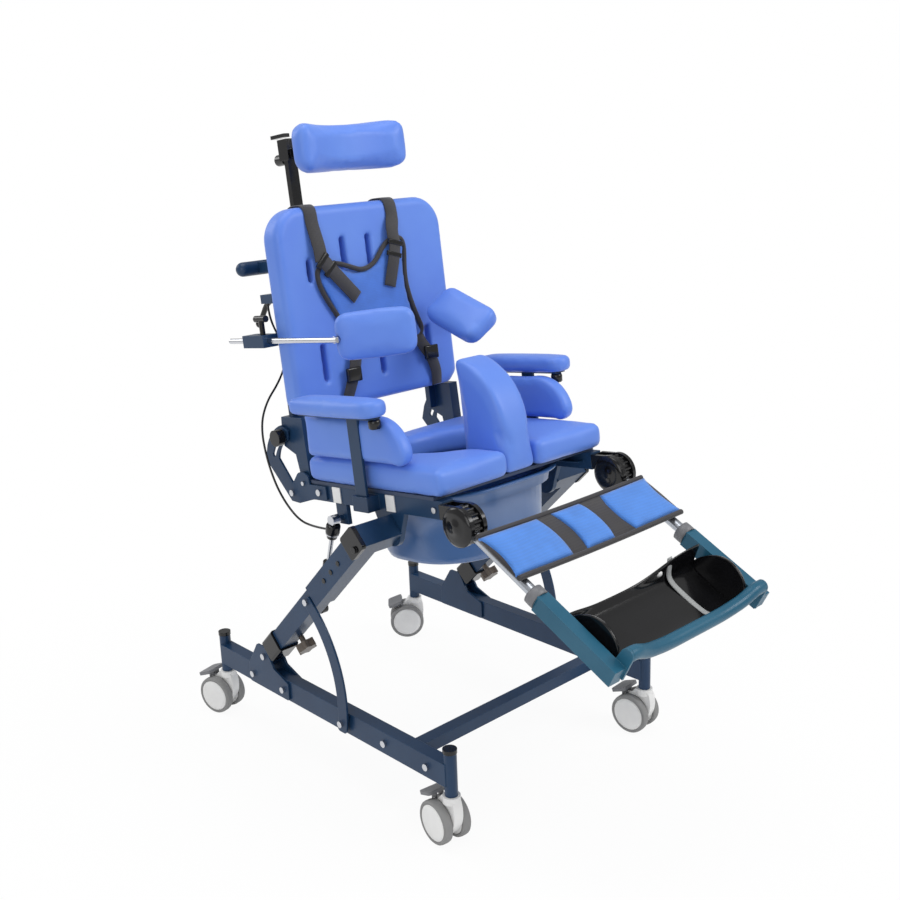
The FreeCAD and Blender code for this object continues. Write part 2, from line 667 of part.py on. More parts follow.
wall_points = [("-318", "-30"), ("-214", "-30", ("-222", "2")), ("-252", "26", ("-290", "36")),
               ("-316", "14")]
tray_walls = [
    slab(f"tray_wall_{s}", REST, "YZ_Plane", wall_points, "tray_wall",
         (f"{sign}(tray_half-tray_wall/2)", "0", "0"))
    for s, sign in (("right", "-"), ("left", ""))
]
tray_floor = box("tray_floor", REST, ("tray_half*2", "104", "tray_wall"), ("0", "-266", "-28"))
tray_back = box("tray_back", REST, ("tray_half*2", "tray_wall", "26"), ("0", "-216", "-17"))
fuse("foot_tray", *tray_walls, tray_floor, tray_back)

# Commode pan: a rounded bucket whose rim rests on the runners
def rounded_ring(name, width, front, rear, corner, height):
    sketch = doc.addObject("Sketcher::SketchObject", name)
    x, y0, y1, r = f"({width})/2", f"-({front})", f"({rear})", f"({corner})"
    k = f"{r}*0.292893"
    outline(sketch, [
        (f"-{x}+{r}", y0), (f"{x}-{r}", y0, (f"{x}-{k}", f"{y0}+{k}")), (x, f"{y0}+{r}"),
        (x, f"{y1}-{r}", (f"{x}-{k}", f"{y1}-{k}")), (f"{x}-{r}", y1),
        (f"-{x}+{r}", y1, (f"-{x}+{k}", f"{y1}-{k}")), (f"-{x}", f"{y1}-{r}"),
        (f"-{x}", f"{y0}+{r}", (f"-{x}+{k}", f"{y0}+{k}")),
    ])
    put(sketch, SEAT, ("0", "0", height))
    return sketch


def bucket(name, inset, low, high):
    rings = [
        rounded_ring(f"{name}_{end}", f"{wide}-2*({inset})", f"{front}-({inset})", f"{rear}-({inset})",
                     f"110-({inset})", height)
        for end, wide, front, rear, height in (
            ("foot", "pan_foot", "pan_front-12", "pan_rear-12", low),
            ("rim", "pan_wide", "pan_front", "pan_rear", high))
    ]
    loft = doc.addObject("Part::Loft", name)
    loft.Sections = rings
    loft.Solid = True
    loft.Ruled = True
    return loft


rim_low = pan_runner + "+1+gap"
pan_outside = bucket("pan_outside", "0", "-pan_deep", rim_low + "+pan_wall")
pan_inside = bucket("pan_inside", "pan_wall", "-pan_deep+pan_wall", rim_low + "+pan_wall+1")
rim_flat = doc.addObject("Part::Extrusion", "rim_flat")
rim_flat.Base = rounded_ring("rim_line", "pan_rim", "pan_front+22", "pan_rear+6", "116", rim_low)
rim_flat.DirMode = "Normal"
rim_flat.Solid = True
rim_flat.setExpression("LengthFwd", bound("pan_wall"))
cut("commode_pan", fuse("pan_solid", pan_outside, rim_flat), pan_inside)

# Pommel: a padded block on the seat board that lifts out of the slot in the cushion's front edge
pommel_low = f"{board_low}+board_thick+gap"
pommel_points = [
    ("-pommel_rear", pommel_low), ("-pommel_rear", "pommel_top", ("-pommel_front+38", "pommel_top-38")),
    ("-pommel_front+4", "pommel_top-112"), ("-pommel_front", pommel_low),
]
slab("pommel", SEAT, "YZ_Plane", pommel_points, "pommel_wide", edges="9")

# Armrests: a flat bar in each rail socket carries an arm pad and a thigh pad
arm_frame_bar = box("arm_bar", SEAT, ("arm_bar_thick", "arm_bar_wide", "arm_pad_low-seat_rail_low-4"),
                    ("-arm_bar_x", "arm_bar_back", "(arm_pad_low+seat_rail_low+2)/2"))
arm_plate = box("arm_plate", SEAT, ("26", "190", "3"), ("-arm_pad_x", "65", "arm_pad_low-1.5"))
arm_knob = rod("arm_knob", SEAT, "z", "9", "14", ("-arm_pad_x+4", "-24", "arm_pad_low-10"))
arm_frame = fuse("arm_frame_right", arm_frame_bar, arm_plate, arm_knob)
mirrored(arm_frame).Label = "arm_frame_left"
pad_low, pad_high = "-arm_pad_wide/2", "arm_pad_wide/2"
arm_pad = slab("arm_pad", SEAT, "XY_Plane",
               [(pad_low, "172"), (pad_low, "-22", ("0", "-48")), (pad_high, "-22"), (pad_high, "172")],
               "arm_pad_thick",
               ("-arm_pad_x", "0", "arm_pad_low+arm_pad_thick/2"), edges="9")
side_pad_x = "-arm_bar_x+(arm_bar_thick+side_pad_thick)/2"
side_pad = slab("side_pad", SEAT, "YZ_Plane",
                [("190", "114"), ("190", "arm_pad_low-4"), ("14", "arm_pad_low-4", ("-56", "arm_pad_low-28")),
                 ("-72", "138", ("-64", "118")), ("-42", "114")],
                "side_pad_thick", (side_pad_x, "0", "0"), edges="8")
arm_pads = gather("arm_pads_right", arm_pad, side_pad)
mirrored(arm_pads).Label = "arm_pads_left"

# Gas spring: its foot turns on the right leg's lug and its rod reaches to the stud under the seat rail
gas_eye = rod("gas_eye", GAS, "x", "10", "12", ("-gas_x", "0", "0"))
gas_tube = rod("gas_tube", GAS, "z", "gas_tube_dia/2", "gas_tube_long",
               ("-gas_x", "0", "8+gas_tube_long/2"))
gas_eye_bore = rod("gas_eye_bore", GAS, "x", "gas_rod_dia/2+fit", "40", ("-gas_x", "0", "0"))
gas_bore = rod("gas_bore", GAS, "z", "gas_rod_dia/2+fit", "gas_tube_long-12",
               ("-gas_x", "0", "8+gas_tube_long/2+6"))
cut("gas_cylinder", fuse("gas_solid", gas_eye, gas_tube), gas_eye_bore, gas_bore)
gas_shaft = rod("gas_shaft", GAS, "z", "gas_rod_dia/2", f"{GAS_LONG}-74",
                ("-gas_x", "0", f"({GAS_LONG}+74)/2"))
gas_release = rod("gas_release", GAS, "z", "12", "18", ("-gas_x", "0", f"{GAS_LONG}-20"))
gas_head = rod("gas_head", GAS, "x", "9", "16", ("-gas_x", "0", GAS_LONG))
fuse("gas_rod", gas_shaft, gas_release, gas_head)

# Backrest frame: two posts on the recline pivots, uprights, cross bars and arms to the push bar
bolt_angle = "recline_mark-(seat_tilt-back_lean)"
post_plate = slab("post_plate", BACK, "YZ_Plane",
                  [("-13", "0", ("0", "-13")), ("13", "0"), ("22", "50"), ("54", "64"), ("57", "80"),
                   ("52", "118"),
                   ("-10", "118")], "post_thick", ("-seat_rail_x", "0", "0"))
pivot_bore = rod("pivot_bore", BACK, "x", "recline_bolt/2+fit", "60", ("-seat_rail_x", "0", "0"))
upright_mid = "back_thick-back_front+1.3+upright_deep/2"
upright_bar = box("upright_bar", BACK, ("upright", "upright_deep", "325"),
                  ("-upright_x", upright_mid, "232"))
lever_bracket = box("lever_bracket", BACK, ("upright+6", "36", "16"), ("-upright_x-3", "57", "330"))
lever_pin = rod("lever_pin", BACK, "x", "4", "16", ("-upright_x+upright/2+7.5", "70", "330"))
back_side = cut("back_side", fuse("back_side_solid", post_plate, upright_bar), pivot_bore)
cross_bars = [
    box(f"back_cross_{n}", BACK, ("upright_x*2-upright", "upright_deep-4", "upright-4"),
        ("0", upright_mid, high))
    for n, high in (("low", "150"), ("high", "bar_high"))
]
bar_arms = [
    box(f"bar_arm_{n}", BACK, ("20", "bar_back-40", "20"), (f"{sign}150", "(bar_back+40)/2", "bar_high"))
    for n, sign in (("right", "-"), ("left", ""))
]
bar_rod = rod("bar_rod", BACK, "x", "bar_dia/2", "bar_half*2-bar_dia", ("0", "bar_back", "bar_high"))
bar_ends = [
    ball(f"bar_end_{n}", BACK, "bar_dia/2", (f"{sign}(bar_half-bar_dia/2)", "bar_back", "bar_high"))
    for n, sign in (("right", "-"), ("left", ""))
]
fuse("push_bar", bar_rod, *bar_ends)
arm_saddle = rod("arm_saddle", BACK, "x", "bar_dia/2", "bar_half*2", ("0", "bar_back", "bar_high"))
cut("back_frame", fuse("back_frame_solid", back_side, mirrored(back_side), *cross_bars, *bar_arms,
                       lever_bracket,
                       lever_pin), arm_saddle)

# Backrest shell with its strap slots
back_half = "back_wide/2"
top_bend = "back_corner*0.292893"
back_points = [
    (f"-{back_half}", "back_low+20"), (f"-{back_half}", "back_high-back_corner",
    (f"-{back_half}+{top_bend}", f"back_high-{top_bend}")), (f"-{back_half}+back_corner", "back_high"),
    (f"{back_half}-back_corner", "back_high", (f"{back_half}-{top_bend}", f"back_high-{top_bend}")),
    (back_half, "back_high-back_corner"), (back_half, "back_low+20"), (f"{back_half}-20", "back_low"),
    (f"-{back_half}+20", "back_low"),
]
back_shell = slab("back_shell", BACK, "XZ_Plane", back_points, "back_thick",
                  ("0", "back_thick/2-back_front", "0"),
                  edges="back_round")
slot_spots = [
    ("upper_right", "-52", "365", "425"), ("upper_middle", "7", "365", "425"),
    ("upper_left", "66", "365", "425"), ("side_right", "-131", "350", "391"),
    ("low_right", "-125", "171", "241"), ("low_left", "125", "171", "241"),
    ("centre", "8", "165", "205"),
]
slot_tools = [
    box("slot_" + n, BACK, ("11", "back_thick*2", f"{high}-{low}"), (x, "0", f"({low}+{high})/2"))
    for n, x, low, high in slot_spots
]
cut("back_pad", back_shell, *slot_tools)

# Lateral supports: a chrome rod in a clamp on each upright carries a shaped pad
clamp_wide = "(rod_x+14-back_wide/2+1.5)"
clamp_mid = "(rod_x+14+back_wide/2-1.5)/2"
clamp_block = box("clamp_block", BACK, (clamp_wide, "65", "22"), (f"-{clamp_mid}", "58", "rod_high"))
clamp_tie = box("clamp_tie", BACK, ("rod_x-upright_x-upright/2", "upright_deep-2", "18"),
                ("-(rod_x+upright_x+upright/2)/2", upright_mid, "rod_high"))
clamp_bore = rod("clamp_bore", BACK, "y", "rod_dia/2+fit", "200", ("-rod_x", "58", "rod_high"))
both_sides("lateral_clamps", cut("lateral_clamp", fuse("clamp_solid", clamp_block, clamp_tie), clamp_bore))
knob_stem = rod("knob_stem", BACK, "z", "5", "24", ("-rod_x", "44", "rod_high+23"))
knob_bar = rod("knob_bar", BACK, "y", "6", "32", ("-rod_x", "44", "rod_high+39"))
recline_spot = (f"recline_reach*cos({bolt_angle})", f"recline_reach*sin({bolt_angle})")
recline_shank = rod("recline_shank", BACK, "x", "recline_bolt/2", "12",
                    ("-seat_rail_x-post_thick/2-6", *recline_spot))
recline_grip = rod("recline_grip", BACK, "x", "15", "14", ("-seat_rail_x-post_thick/2-18", *recline_spot))
both_sides("clamp_knobs", fuse("lateral_knob", knob_stem, knob_bar),
           fuse("recline_knob", recline_shank, recline_grip))

near_front = "-rod_long/2+rod_slid_right"
near_rod = rod("near_rod", BACK, "y", "rod_dia/2", "rod_long", ("-rod_x", "rod_slid_right", "rod_high"))
near_arm = rod("near_arm", BACK, "x", "6", "44", ("-rod_x+21", near_front + "+8", "rod_high"))
fuse("lateral_rod_right", near_rod, near_arm)
near_blank = slab("near_blank", BACK, "XZ_Plane",
                  rectangle("-lateral_long/2", "lateral_long/2", "-lateral_tall/2", "lateral_tall/2"),
                  "lateral_thick",
                  ("-147", near_front + "-26", "rod_high+2"), corners="20", edges="11",
                  turn="vector(0;0;1);-38")
cut("lateral_pad_right", near_blank, near_arm, near_rod)
far_front = "-rod_long/2+rod_slid_left"
far_rod = rod("far_rod", BACK, "y", "rod_dia/2", "rod_long", ("rod_x", "rod_slid_left", "rod_high"))
far_arm = rod("far_arm", BACK, "x", "6", "90", ("rod_x-40", far_front + "+8", "rod_high"))
fuse("lateral_rod_left", far_rod, far_arm)
FAR_PAD = BACK + f" * placement(vector(122;{far_front}-42;rod_high-3);vector(1;0;0);24)"
far_blank = slab("far_blank", FAR_PAD, "YZ_Plane",
                 rectangle("-lateral_long/2", "lateral_long/2", "-lateral_tall/2", "lateral_tall/2"),
                 "lateral_thick",
                 corners="20", edges="11", turn="vector(0;1;0);52")
cut("lateral_pad_left", far_blank, far_arm)

# Harness: straps over the backrest's top edge, lower straps and a chest vest
front_face = "-back_front-gap"
rear_face = "back_thick-back_front+gap"


def shoulder_strap(side, x, low):
    """Webbing from behind the backrest, over its top edge and down to a slider on its face."""
    rise = f"back_high-({low})"
    middle = f"(back_high+({low}))/2+gap"
    return fuse(
        "shoulder_strap_" + side,
        box("strap_front_" + side, BACK, ("strap_wide", "strap_thick", rise),
            (x, front_face + "-strap_thick/2", middle)),
        box("strap_top_" + side, BACK, ("strap_wide", "back_thick+(gap+strap_thick)*2", "strap_thick"),
            (x, "back_thick/2-back_front", "back_high+gap+strap_thick/2")),
        box("strap_rear_" + side, BACK, ("strap_wide", "strap_thick", rise),
            (x, rear_face + "+strap_thick/2", middle)),
        box("slider_" + side, BACK, ("strap_wide+6", "buckle_thick", "strap_wide"),
            (x, front_face + "-buckle_thick/2", f"({low})+strap_wide/2")),
    )


def waist_strap(side, x, high):
    """A short strap from the vest's lower edge with its buckle."""
    return fuse(
        "waist_strap_" + side,
        box("waist_web_" + side, BACK, ("waist_wide", "strap_thick", f"({high})-back_low-2"),
            (x, front_face + "-strap_thick/2", f"(({high})+back_low+2)/2")),
        box("waist_buckle_" + side, BACK, ("waist_wide+6", "buckle_thick", "waist_wide"),
            (x, front_face + "-buckle_thick/2", f"({high})-waist_wide/2-2")),
    )


gather("harness_straps", shoulder_strap("right", "-113", "394"), shoulder_strap("left", "62", "418"),
       waist_strap("right", "-78", "213"), waist_strap("left", "108", "213"))
vest_points = [
    ("-70", "215"), ("112", "215", ("80", "320")), ("88", "404", ("68", "414")),
    ("40", "405", ("-15", "360")),
    ("-79", "379", ("-112", "380")), ("-121", "352", ("-97", "303")),
]
slab("chest_vest", BACK, "XZ_Plane", vest_points, "6", ("0", front_face + "-3", "0"))

# Release lever behind the right upright, with a ball at its tip
lever_x = "-upright_x+upright/2+gap+6"
lever_tube = pipe("lever_tube", BACK, "5",
                  [(lever_x, "70", "330"), (lever_x, "106", "322"), (lever_x, "141", "283")])
lever_eye = rod("lever_eye", BACK, "x", "9", "12", (lever_x, "70", "330"))
lever_ball = ball("lever_ball", BACK, "8", (lever_x, "141", "283"))
lever_bore = rod("lever_bore", BACK, "x", "4+fit", "40", (lever_x, "70", "330"))
cut("release_lever", fuse("lever_solid", lever_tube, lever_eye, lever_ball), lever_bore)
pipe("release_cable", BASE, "cable_dia/2", [
    ("-174", "197.5", "826.7"), ("-172", "200", "800"), ("-142", "212", "752"), ("-132", "214", "712"),
    ("-152", "214", "676"), ("-190", "205", "645"), ("-212", "195", "605"), ("-214", "180", "545"),
    ("-214", "150", "490"), ("-214", "100", "452"), ("-213", "56", "446"), ("-210", "16.2", "450"),
])

# Headrest: a mast in a receiver on the push bar, a forward arm and a tilting pad
receiver_block = box("receiver_block", BACK, ("44", "32", "40"), ("0", "mast_back", "bar_high"))
receiver_arm = box("receiver_arm", BACK, ("30", "mast_back-bar_back", "24"),
                   ("0", "(mast_back+bar_back)/2", "bar_high"))
receiver_saddle = rod("receiver_saddle", BACK, "x", "bar_dia/2", "100", ("0", "bar_back", "bar_high"))
mast_slot = box("mast_slot", BACK, ("mast_wide+fit*2", "mast_deep+fit*2", "100"),
                ("0", "mast_back", "bar_high"))
cut("headrest_receiver", fuse("receiver_solid", receiver_block, receiver_arm), receiver_saddle, mast_slot)
hinge_spot = ("head_back", "head_high+8")
mast = box("mast", BACK, ("mast_wide", "mast_deep", "head_high+18-mast_low"),
           ("0", "mast_back", "(head_high+18+mast_low)/2"))
mast_head = box("mast_head", BACK, ("30", "30", "40"), ("0", "mast_back", "head_high+16"))
mast_lever = box("mast_lever", BACK, ("14", "44", "7"), ("0", "mast_back+24", "head_high+44"))
mast_knob = rod("mast_knob", BACK, "y", "11", "24", ("0", "mast_back+26", "head_high"))
head_arm = box("head_arm", BACK, ("16", "mast_back-head_back", "16"),
               ("0", "(mast_back+head_back)/2", "head_high+8"))
head_eye = rod("head_eye", BACK, "x", "9", "16", ("0", *hinge_spot))
head_bore = rod("head_bore", BACK, "x", "4+fit", "40", ("0", *hinge_spot))
cut("headrest_bar", fuse("head_solid", mast, mast_head, mast_lever, mast_knob, head_arm, head_eye),
    head_bore)
hinge_ears = [
    box(f"hinge_ear_{n}", BACK, ("4", "24", "18"), (f"{sign}(10+gap)", "head_back-2", "head_high+8"))
    for n, sign in (("right", "-"), ("left", ""))
]
hinge_plate = box("hinge_plate", BACK, ("60", "3", "34"), ("0", "head_back-12.5", "head_high+8"))
hinge_pin = rod("hinge_pin", BACK, "x", "4", "25", ("0", *hinge_spot))
fuse("headrest_hinge", *hinge_ears, hinge_plate, hinge_pin)
head_points = [
    ("-head_wide/2", "head_back-52", ("0", "head_back-14")), ("head_wide/2", "head_back-52"),
    ("head_wide/2-4", "head_back-92", ("0", "head_back-60")), ("-head_wide/2+4", "head_back-92"),
]
head_pad_blank = slab("head_pad_blank", BACK, "XY_Plane", head_points, "head_tall",
                      ("0", "0", "head_high"), edges="17")
head_round = slab("head_round", BACK, "XZ_Plane",
                  rectangle("-head_wide/2-1", "head_wide/2+1", "-head_tall/2-1", "head_tall/2+1"),
                  "120", ("0", "head_back-50", "head_high"), corners="head_corner")
cut("headrest_pad", overlap("head_pad_solid", head_pad_blank, head_round), hinge_plate)

# Castors: a swivelling housing, a pair of wheels on one axle and a brake pedal
CASTORS = {
    "front_right": ("-", "-", 173),
    "rear_right": ("-", "", 195),
    "front_left": ("", "-", 185),
    "rear_left": ("", "", 230),
}
pedal_spot = ("-trail-17", "wheel_dia/2+29.5")
for name, (side, end, heading) in CASTORS.items():
    post = f"vector({side}track/2;base_shift{end or '+'}wheelbase/2;0)"
    frame = f"placement({post};vector(0;0;1);{heading})"
    stem = rod(f"stem_{name}", frame, "z", "stem_dia/2", "44", ("0", "0", "castor_tall"))
    top = rod(f"top_{name}", frame, "z", "15", "castor_tall-gap-wheel_dia-2",
              ("0", "0", "(castor_tall-gap+wheel_dia+2)/2"))
    hood_points = [
        ("-trail-18", "wheel_dia/2+24", ("-trail-30", "wheel_dia/2")),
        ("-trail", "wheel_dia/2-30", ("6", "26")),
        ("15", "castor_tall-10"), ("11", "castor_tall-3"), ("-14", "castor_tall-3"),
    ]
    hood = slab(f"hood_{name}", frame, "YZ_Plane", hood_points, "hood_wide")
    ear_block = box(f"pedal_ear_{name}", frame, ("8", "12", "16"), ("0", "-trail-15", "wheel_dia/2+25"))
    ear_pin = rod(f"pedal_pin_{name}", frame, "x", "3", "hood_wide-2", ("0", *pedal_spot))
    axle_bore = rod(f"axle_bore_{name}", frame, "x", "axle_dia/2+fit", "80",
                    ("0", "-trail", "wheel_dia/2"))
    notches = [
        box(f"notch_{n}_{name}", frame, ("8", "40", "40"),
            (f"{sign}(8+gap)", "-trail-27", "wheel_dia/2+34"))
        for n, sign in (("right", "-"), ("left", ""))
    ]
    shell = fuse(f"shell_{name}", cut(f"hood_cut_{name}", hood, *notches), stem, top, ear_block, ear_pin)
    cut(f"caster_housing_{name}", shell, axle_bore)
    axle = rod(f"axle_{name}", frame, "x", "axle_dia/2", "hood_wide+wheel_wide",
               ("0", "-trail", "wheel_dia/2"))
    wheels = [
        rod(f"wheel_{n}_{name}", frame, "x", "wheel_dia/2", "wheel_wide",
            (f"{sign}(hood_wide/2+gap+wheel_wide/2)", "-trail", "wheel_dia/2"))
        for n, sign in (("outer", ""), ("inner", "-"))
    ]
    fuse(f"caster_wheels_{name}", axle, *wheels)
    pedal_cheeks = [
        box(f"cheek_{n}_{name}", frame, ("3", "12", "18"),
            (f"{sign}(6+gap)", "-trail-19", "wheel_dia/2+33"))
        for n, sign in (("right", "-"), ("left", ""))
    ]
    plate_blank = slab(f"pedal_plate_{name}", frame, "XY_Plane", rectangle("-23", "23", "-17", "15"), "6",
                       ("0", "-trail-24", "wheel_dia/2+42"), corners="6", turn="vector(1;0;0);20")
    pedal_bore = rod(f"pedal_bore_{name}", frame, "x", "3+fit", "60", ("0", *pedal_spot))
    cut(f"brake_pedal_{name}", fuse(f"pedal_{name}", *pedal_cheeks, plate_blank), pedal_bore)

# Check every piece and write each node to its own file
NODES = """
base_rails base_cross_tube base_caps leg_gussets lower_legs leg_braces base_bolts
upper_legs elbow_caps height_knob_right height_knob_left gas_cylinder gas_rod
seat_rails recline_brackets seat_board seat_pad seat_bolts seat_clips legrest_hubs commode_pan pommel
arm_frame_right arm_frame_left arm_pads_right arm_pads_left
back_frame push_bar back_pad clamp_knobs lateral_clamps harness_straps chest_vest
headrest_receiver headrest_bar headrest_hinge headrest_pad release_lever release_cable
lateral_rod_right lateral_rod_left lateral_pad_right lateral_pad_left
legrest_tubes calf_strap foot_tubes foot_bow foot_tray
""".split()
for name in CASTORS:
    NODES += [f"{piece}_{name}" for piece in ("caster_housing", "caster_wheels", "brake_pedal")]
doc.recompute()
for part in doc.Objects:
    if "Invalid" in part.State or "Error" in part.State:
        raise ValueError(f"{part.Label} did not build: {part.State}")
os.makedirs("parts", exist_ok=True)
for node in NODES:
    shape = doc.getObjectsByLabel(node)[0].Shape
    if shape.isNull() or not shape.isValid() or not shape.Solids:
        raise ValueError(f"{node} has no valid solid")
    shape.exportStep(f"parts/{node}.step")
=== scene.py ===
import json
import math

import bmesh
import bpy
import numpy as np
from mathutils import Matrix, Vector


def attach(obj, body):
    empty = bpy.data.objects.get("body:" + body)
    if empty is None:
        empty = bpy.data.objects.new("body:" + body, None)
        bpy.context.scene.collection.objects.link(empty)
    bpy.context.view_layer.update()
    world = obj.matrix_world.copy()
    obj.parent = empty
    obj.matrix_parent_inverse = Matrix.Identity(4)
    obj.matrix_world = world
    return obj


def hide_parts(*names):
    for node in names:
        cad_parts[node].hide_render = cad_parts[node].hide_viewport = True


bl_info = {
    "name": "Tilt Shower Commode Chair",
    "version": (1, 0, 0),
    "blender": (4, 5, 0),
    "location": "3D View > Sidebar > Chair",
    "description": "Dresses the chair's frame with pads, harness, pan, tray, castors and a studio",
    "category": "Object",
}

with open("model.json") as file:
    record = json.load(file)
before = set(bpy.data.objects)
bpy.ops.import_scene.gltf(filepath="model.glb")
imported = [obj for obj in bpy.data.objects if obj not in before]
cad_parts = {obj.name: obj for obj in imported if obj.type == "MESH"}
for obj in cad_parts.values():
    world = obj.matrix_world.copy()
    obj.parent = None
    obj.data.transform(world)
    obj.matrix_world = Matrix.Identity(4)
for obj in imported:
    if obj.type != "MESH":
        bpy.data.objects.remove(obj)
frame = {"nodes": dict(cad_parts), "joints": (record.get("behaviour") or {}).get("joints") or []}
NODES = frame["nodes"]
JOINTS = {joint["name"]: joint for joint in frame["joints"]}
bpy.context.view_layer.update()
MM = 0.001
# Places on the chair are in millimetres, the camera's in metres and degrees
LEG_TUBE_X = 183
CLOTH_FRAMES = 20
CLOTH_PRESSURE = 4
CAMERA_SPOT = (-1.35, -1.43, 1.13)
CAMERA_ANGLES = (-42.6, 15.8, -2.12)
CAMERA_LENS = 46.48
FINISHES = {}


def linear(hex_colour):
    """An sRGB hex colour as linear red, green, blue and alpha."""
    parts = [int(hex_colour[i:i + 2], 16) / 255 for i in (1, 3, 5)]
    return tuple(p / 12.92 if p <= 0.04045 else ((p + 0.055) / 1.055) ** 2.4 for p in parts) + (1.0,)


def colour(name, description, hex_colour):
    return bpy.props.FloatVectorProperty(
        name=name, description=description, subtype="COLOR", size=4, min=0, max=1, default=linear(hex_colour)
    )


def length(name, description, millimetres):
    return bpy.props.FloatProperty(
        name=name, description=description, unit="LENGTH", subtype="DISTANCE", min=0, default=millimetres * MM
    )


def angle(name, description, degrees):
    return bpy.props.FloatProperty(
        name=name, description=description, unit="ROTATION", subtype="ANGLE", default=math.radians(degrees)
    )


class ChairSizes(bpy.types.PropertyGroup):
    """Sizes of the soft and moulded pieces."""

    seat_slope: angle("Seat slope", "Slope of the seat, front edge up", 6.5)
    back_lean: angle("Back lean", "Lean of the backrest from upright", 6.7)
    leg_drop: angle("Legrest drop", "Slope of the legrest, foot end down", 27)
    pad_voxel: length("Pad grain", "Mesh size that the pads are stuffed at", 5)
    strap_wide: length("Strap width", "Width of the shoulder webbing", 28)
    strap_thick: length("Strap thickness", "Thickness of the webbing", 2.4)
    binding: length("Binding", "Radius of the bound edge round the vest and calf strap", 4.6)
    cable: length("Cable", "Diameter of the release cable", 4)
    pan_wall: length("Pan wall", "Thickness of the pan's wall", 3)
    tray_wall: length("Tray wall", "Thickness of the foot tray", 4)


class ChairColours(bpy.types.PropertyGroup):
    """Colours of the chair's finishes."""

    pads: colour("Pads", "Moulded foam skin", "#628AE0")
    pads_dark: colour("Pads, dark", "Foam skin in its deeper patches", "#5379DA")
    navy: colour("Frame", "Powder coat of the frame", "#133151")
    navy_worn: colour("Frame edges", "Powder coat where edges are rubbed", "#3A5E82")
    teal: colour("Legrest", "Powder coat of the legrest tubes", "#1B5670")
    teal_worn: colour("Legrest edges", "Legrest coat where edges are rubbed", "#5A90A8")
    webbing: colour("Webbing", "Woven strap", "#2C2B2E")
    cloth: colour("Cloth", "Padded cloth of the vest", "#3E70C8")
    calf_cloth: colour("Calf cloth", "Padded cloth of the calf strap", "#427DCF")
    binding: colour("Binding", "Bound edge", "#2A282B")
    pan: colour("Pan", "Clear-tinted pan", "#35639F")
    black: colour("Black plastic", "Moulded knobs, hubs and tray", "#0C0C0E")
    bronze: colour("Height knobs", "Moulded star knobs", "#5B5148")
    white: colour("White plastic", "Castor bodies and clips", "#EDEDEC")
    tyre: colour("Tyres", "Castor tread", "#8C8C8C")
    pedal: colour("Pedals", "Castor brake pedals", "#6E6F73")


def sizes():
    return bpy.context.scene.chair_sizes


def colours():
    return bpy.context.scene.chair_colours


def at_joint(name, turn):
    """The frame of a joint, turned about the chair's cross axis, in millimetres."""
    spot = Matrix.Translation(Vector(JOINTS[name]["pos_m"]))
    return spot @ Matrix.Rotation(turn, 4, "X") @ Matrix.Scale(MM, 4)


def seat_frame():
    return at_joint("tilt", -sizes().seat_slope)


def back_frame():
    return at_joint("recline", -sizes().back_lean)


def rest_frame():
    return at_joint("legrest_angle", sizes().leg_drop)


def add(tree, kind, settings=None, links=None):
    """One shader node with its settings, and links from other nodes' outputs into its inputs."""
    node = tree.nodes.new(kind)
    for key, setting in (settings or {}).items():
        if isinstance(key, str) and hasattr(node, key):
            setattr(node, key, setting)
        else:
            node.inputs[key].default_value = setting
    for key, output in (links or {}).items():
        tree.links.new(output, node.inputs[key])
    return node


def start(name):
    material = bpy.data.materials.new(name)
    material.use_nodes = True
    tree = material.node_tree
    shader = tree.nodes["Principled BSDF"]
    place = add(tree, "ShaderNodeTexCoord")
    FINISHES[name] = material
    return tree, shader, place.outputs["Object"]


def powder_coat(name, base, worn):
    """Steel tube with a baked powder coat: a glossy skin with a faint peel, rubbed paler on its edges."""
    tree, shader, place = start(name)
    # Real peel is about 1.5 mm across; drawn at 5 mm so that it shows
    peel = add(tree, "ShaderNodeTexNoise", {"Scale": 1 / 0.005, "Detail": 3}, {"Vector": place})
    cloud = add(tree, "ShaderNodeTexNoise", {"Scale": 1 / 0.09, "Detail": 4}, {"Vector": place})
    soft = add(tree, "ShaderNodeBevel", {"samples": 4, "Radius": 1.8 * MM})
    flat = add(tree, "ShaderNodeNewGeometry")
    facing = add(tree, "ShaderNodeVectorMath", {"operation": "DOT_PRODUCT"},
                 {0: soft.outputs["Normal"], 1: flat.outputs["Normal"]})
    edge = add(tree, "ShaderNodeMapRange", {"From Min": 0.995, "From Max": 0.8, "To Max": 0.55},
               {"Value": facing.outputs["Value"]})
    shade = add(tree, "ShaderNodeMapRange", {"From Min": 0.3, "From Max": 0.7, "To Max": 0.15},
                {"Value": cloud.outputs["Fac"]})
    rubbed = add(tree, "ShaderNodeMath", {"operation": "MAXIMUM"}, {0: edge.outputs[0], 1: shade.outputs[0]})
    mix = add(tree, "ShaderNodeMix", {"data_type": "RGBA"})
    mix.inputs[6].default_value = base
    mix.inputs[7].default_value = worn
    tree.links.new(rubbed.outputs[0], mix.inputs[0])
    rough = add(tree, "ShaderNodeMapRange", {"To Min": 0.3, "To Max": 0.42}, {"Value": peel.outputs["Fac"]})
    bump = add(tree, "ShaderNodeBump", {"Strength": 0.03, "Distance": 0.3 * MM},
               {"Height": peel.outputs["Fac"], "Normal": soft.outputs["Normal"]})
    tree.links.new(mix.outputs[2], shader.inputs["Base Color"])
    tree.links.new(rough.outputs[0], shader.inputs["Roughness"])
    tree.links.new(bump.outputs[0], shader.inputs["Normal"])
    shader.inputs["Specular IOR Level"].default_value = 0.3
    shader.inputs["Coat Weight"].default_value = 0.08
    shader.inputs["Coat Roughness"].default_value = 0.15


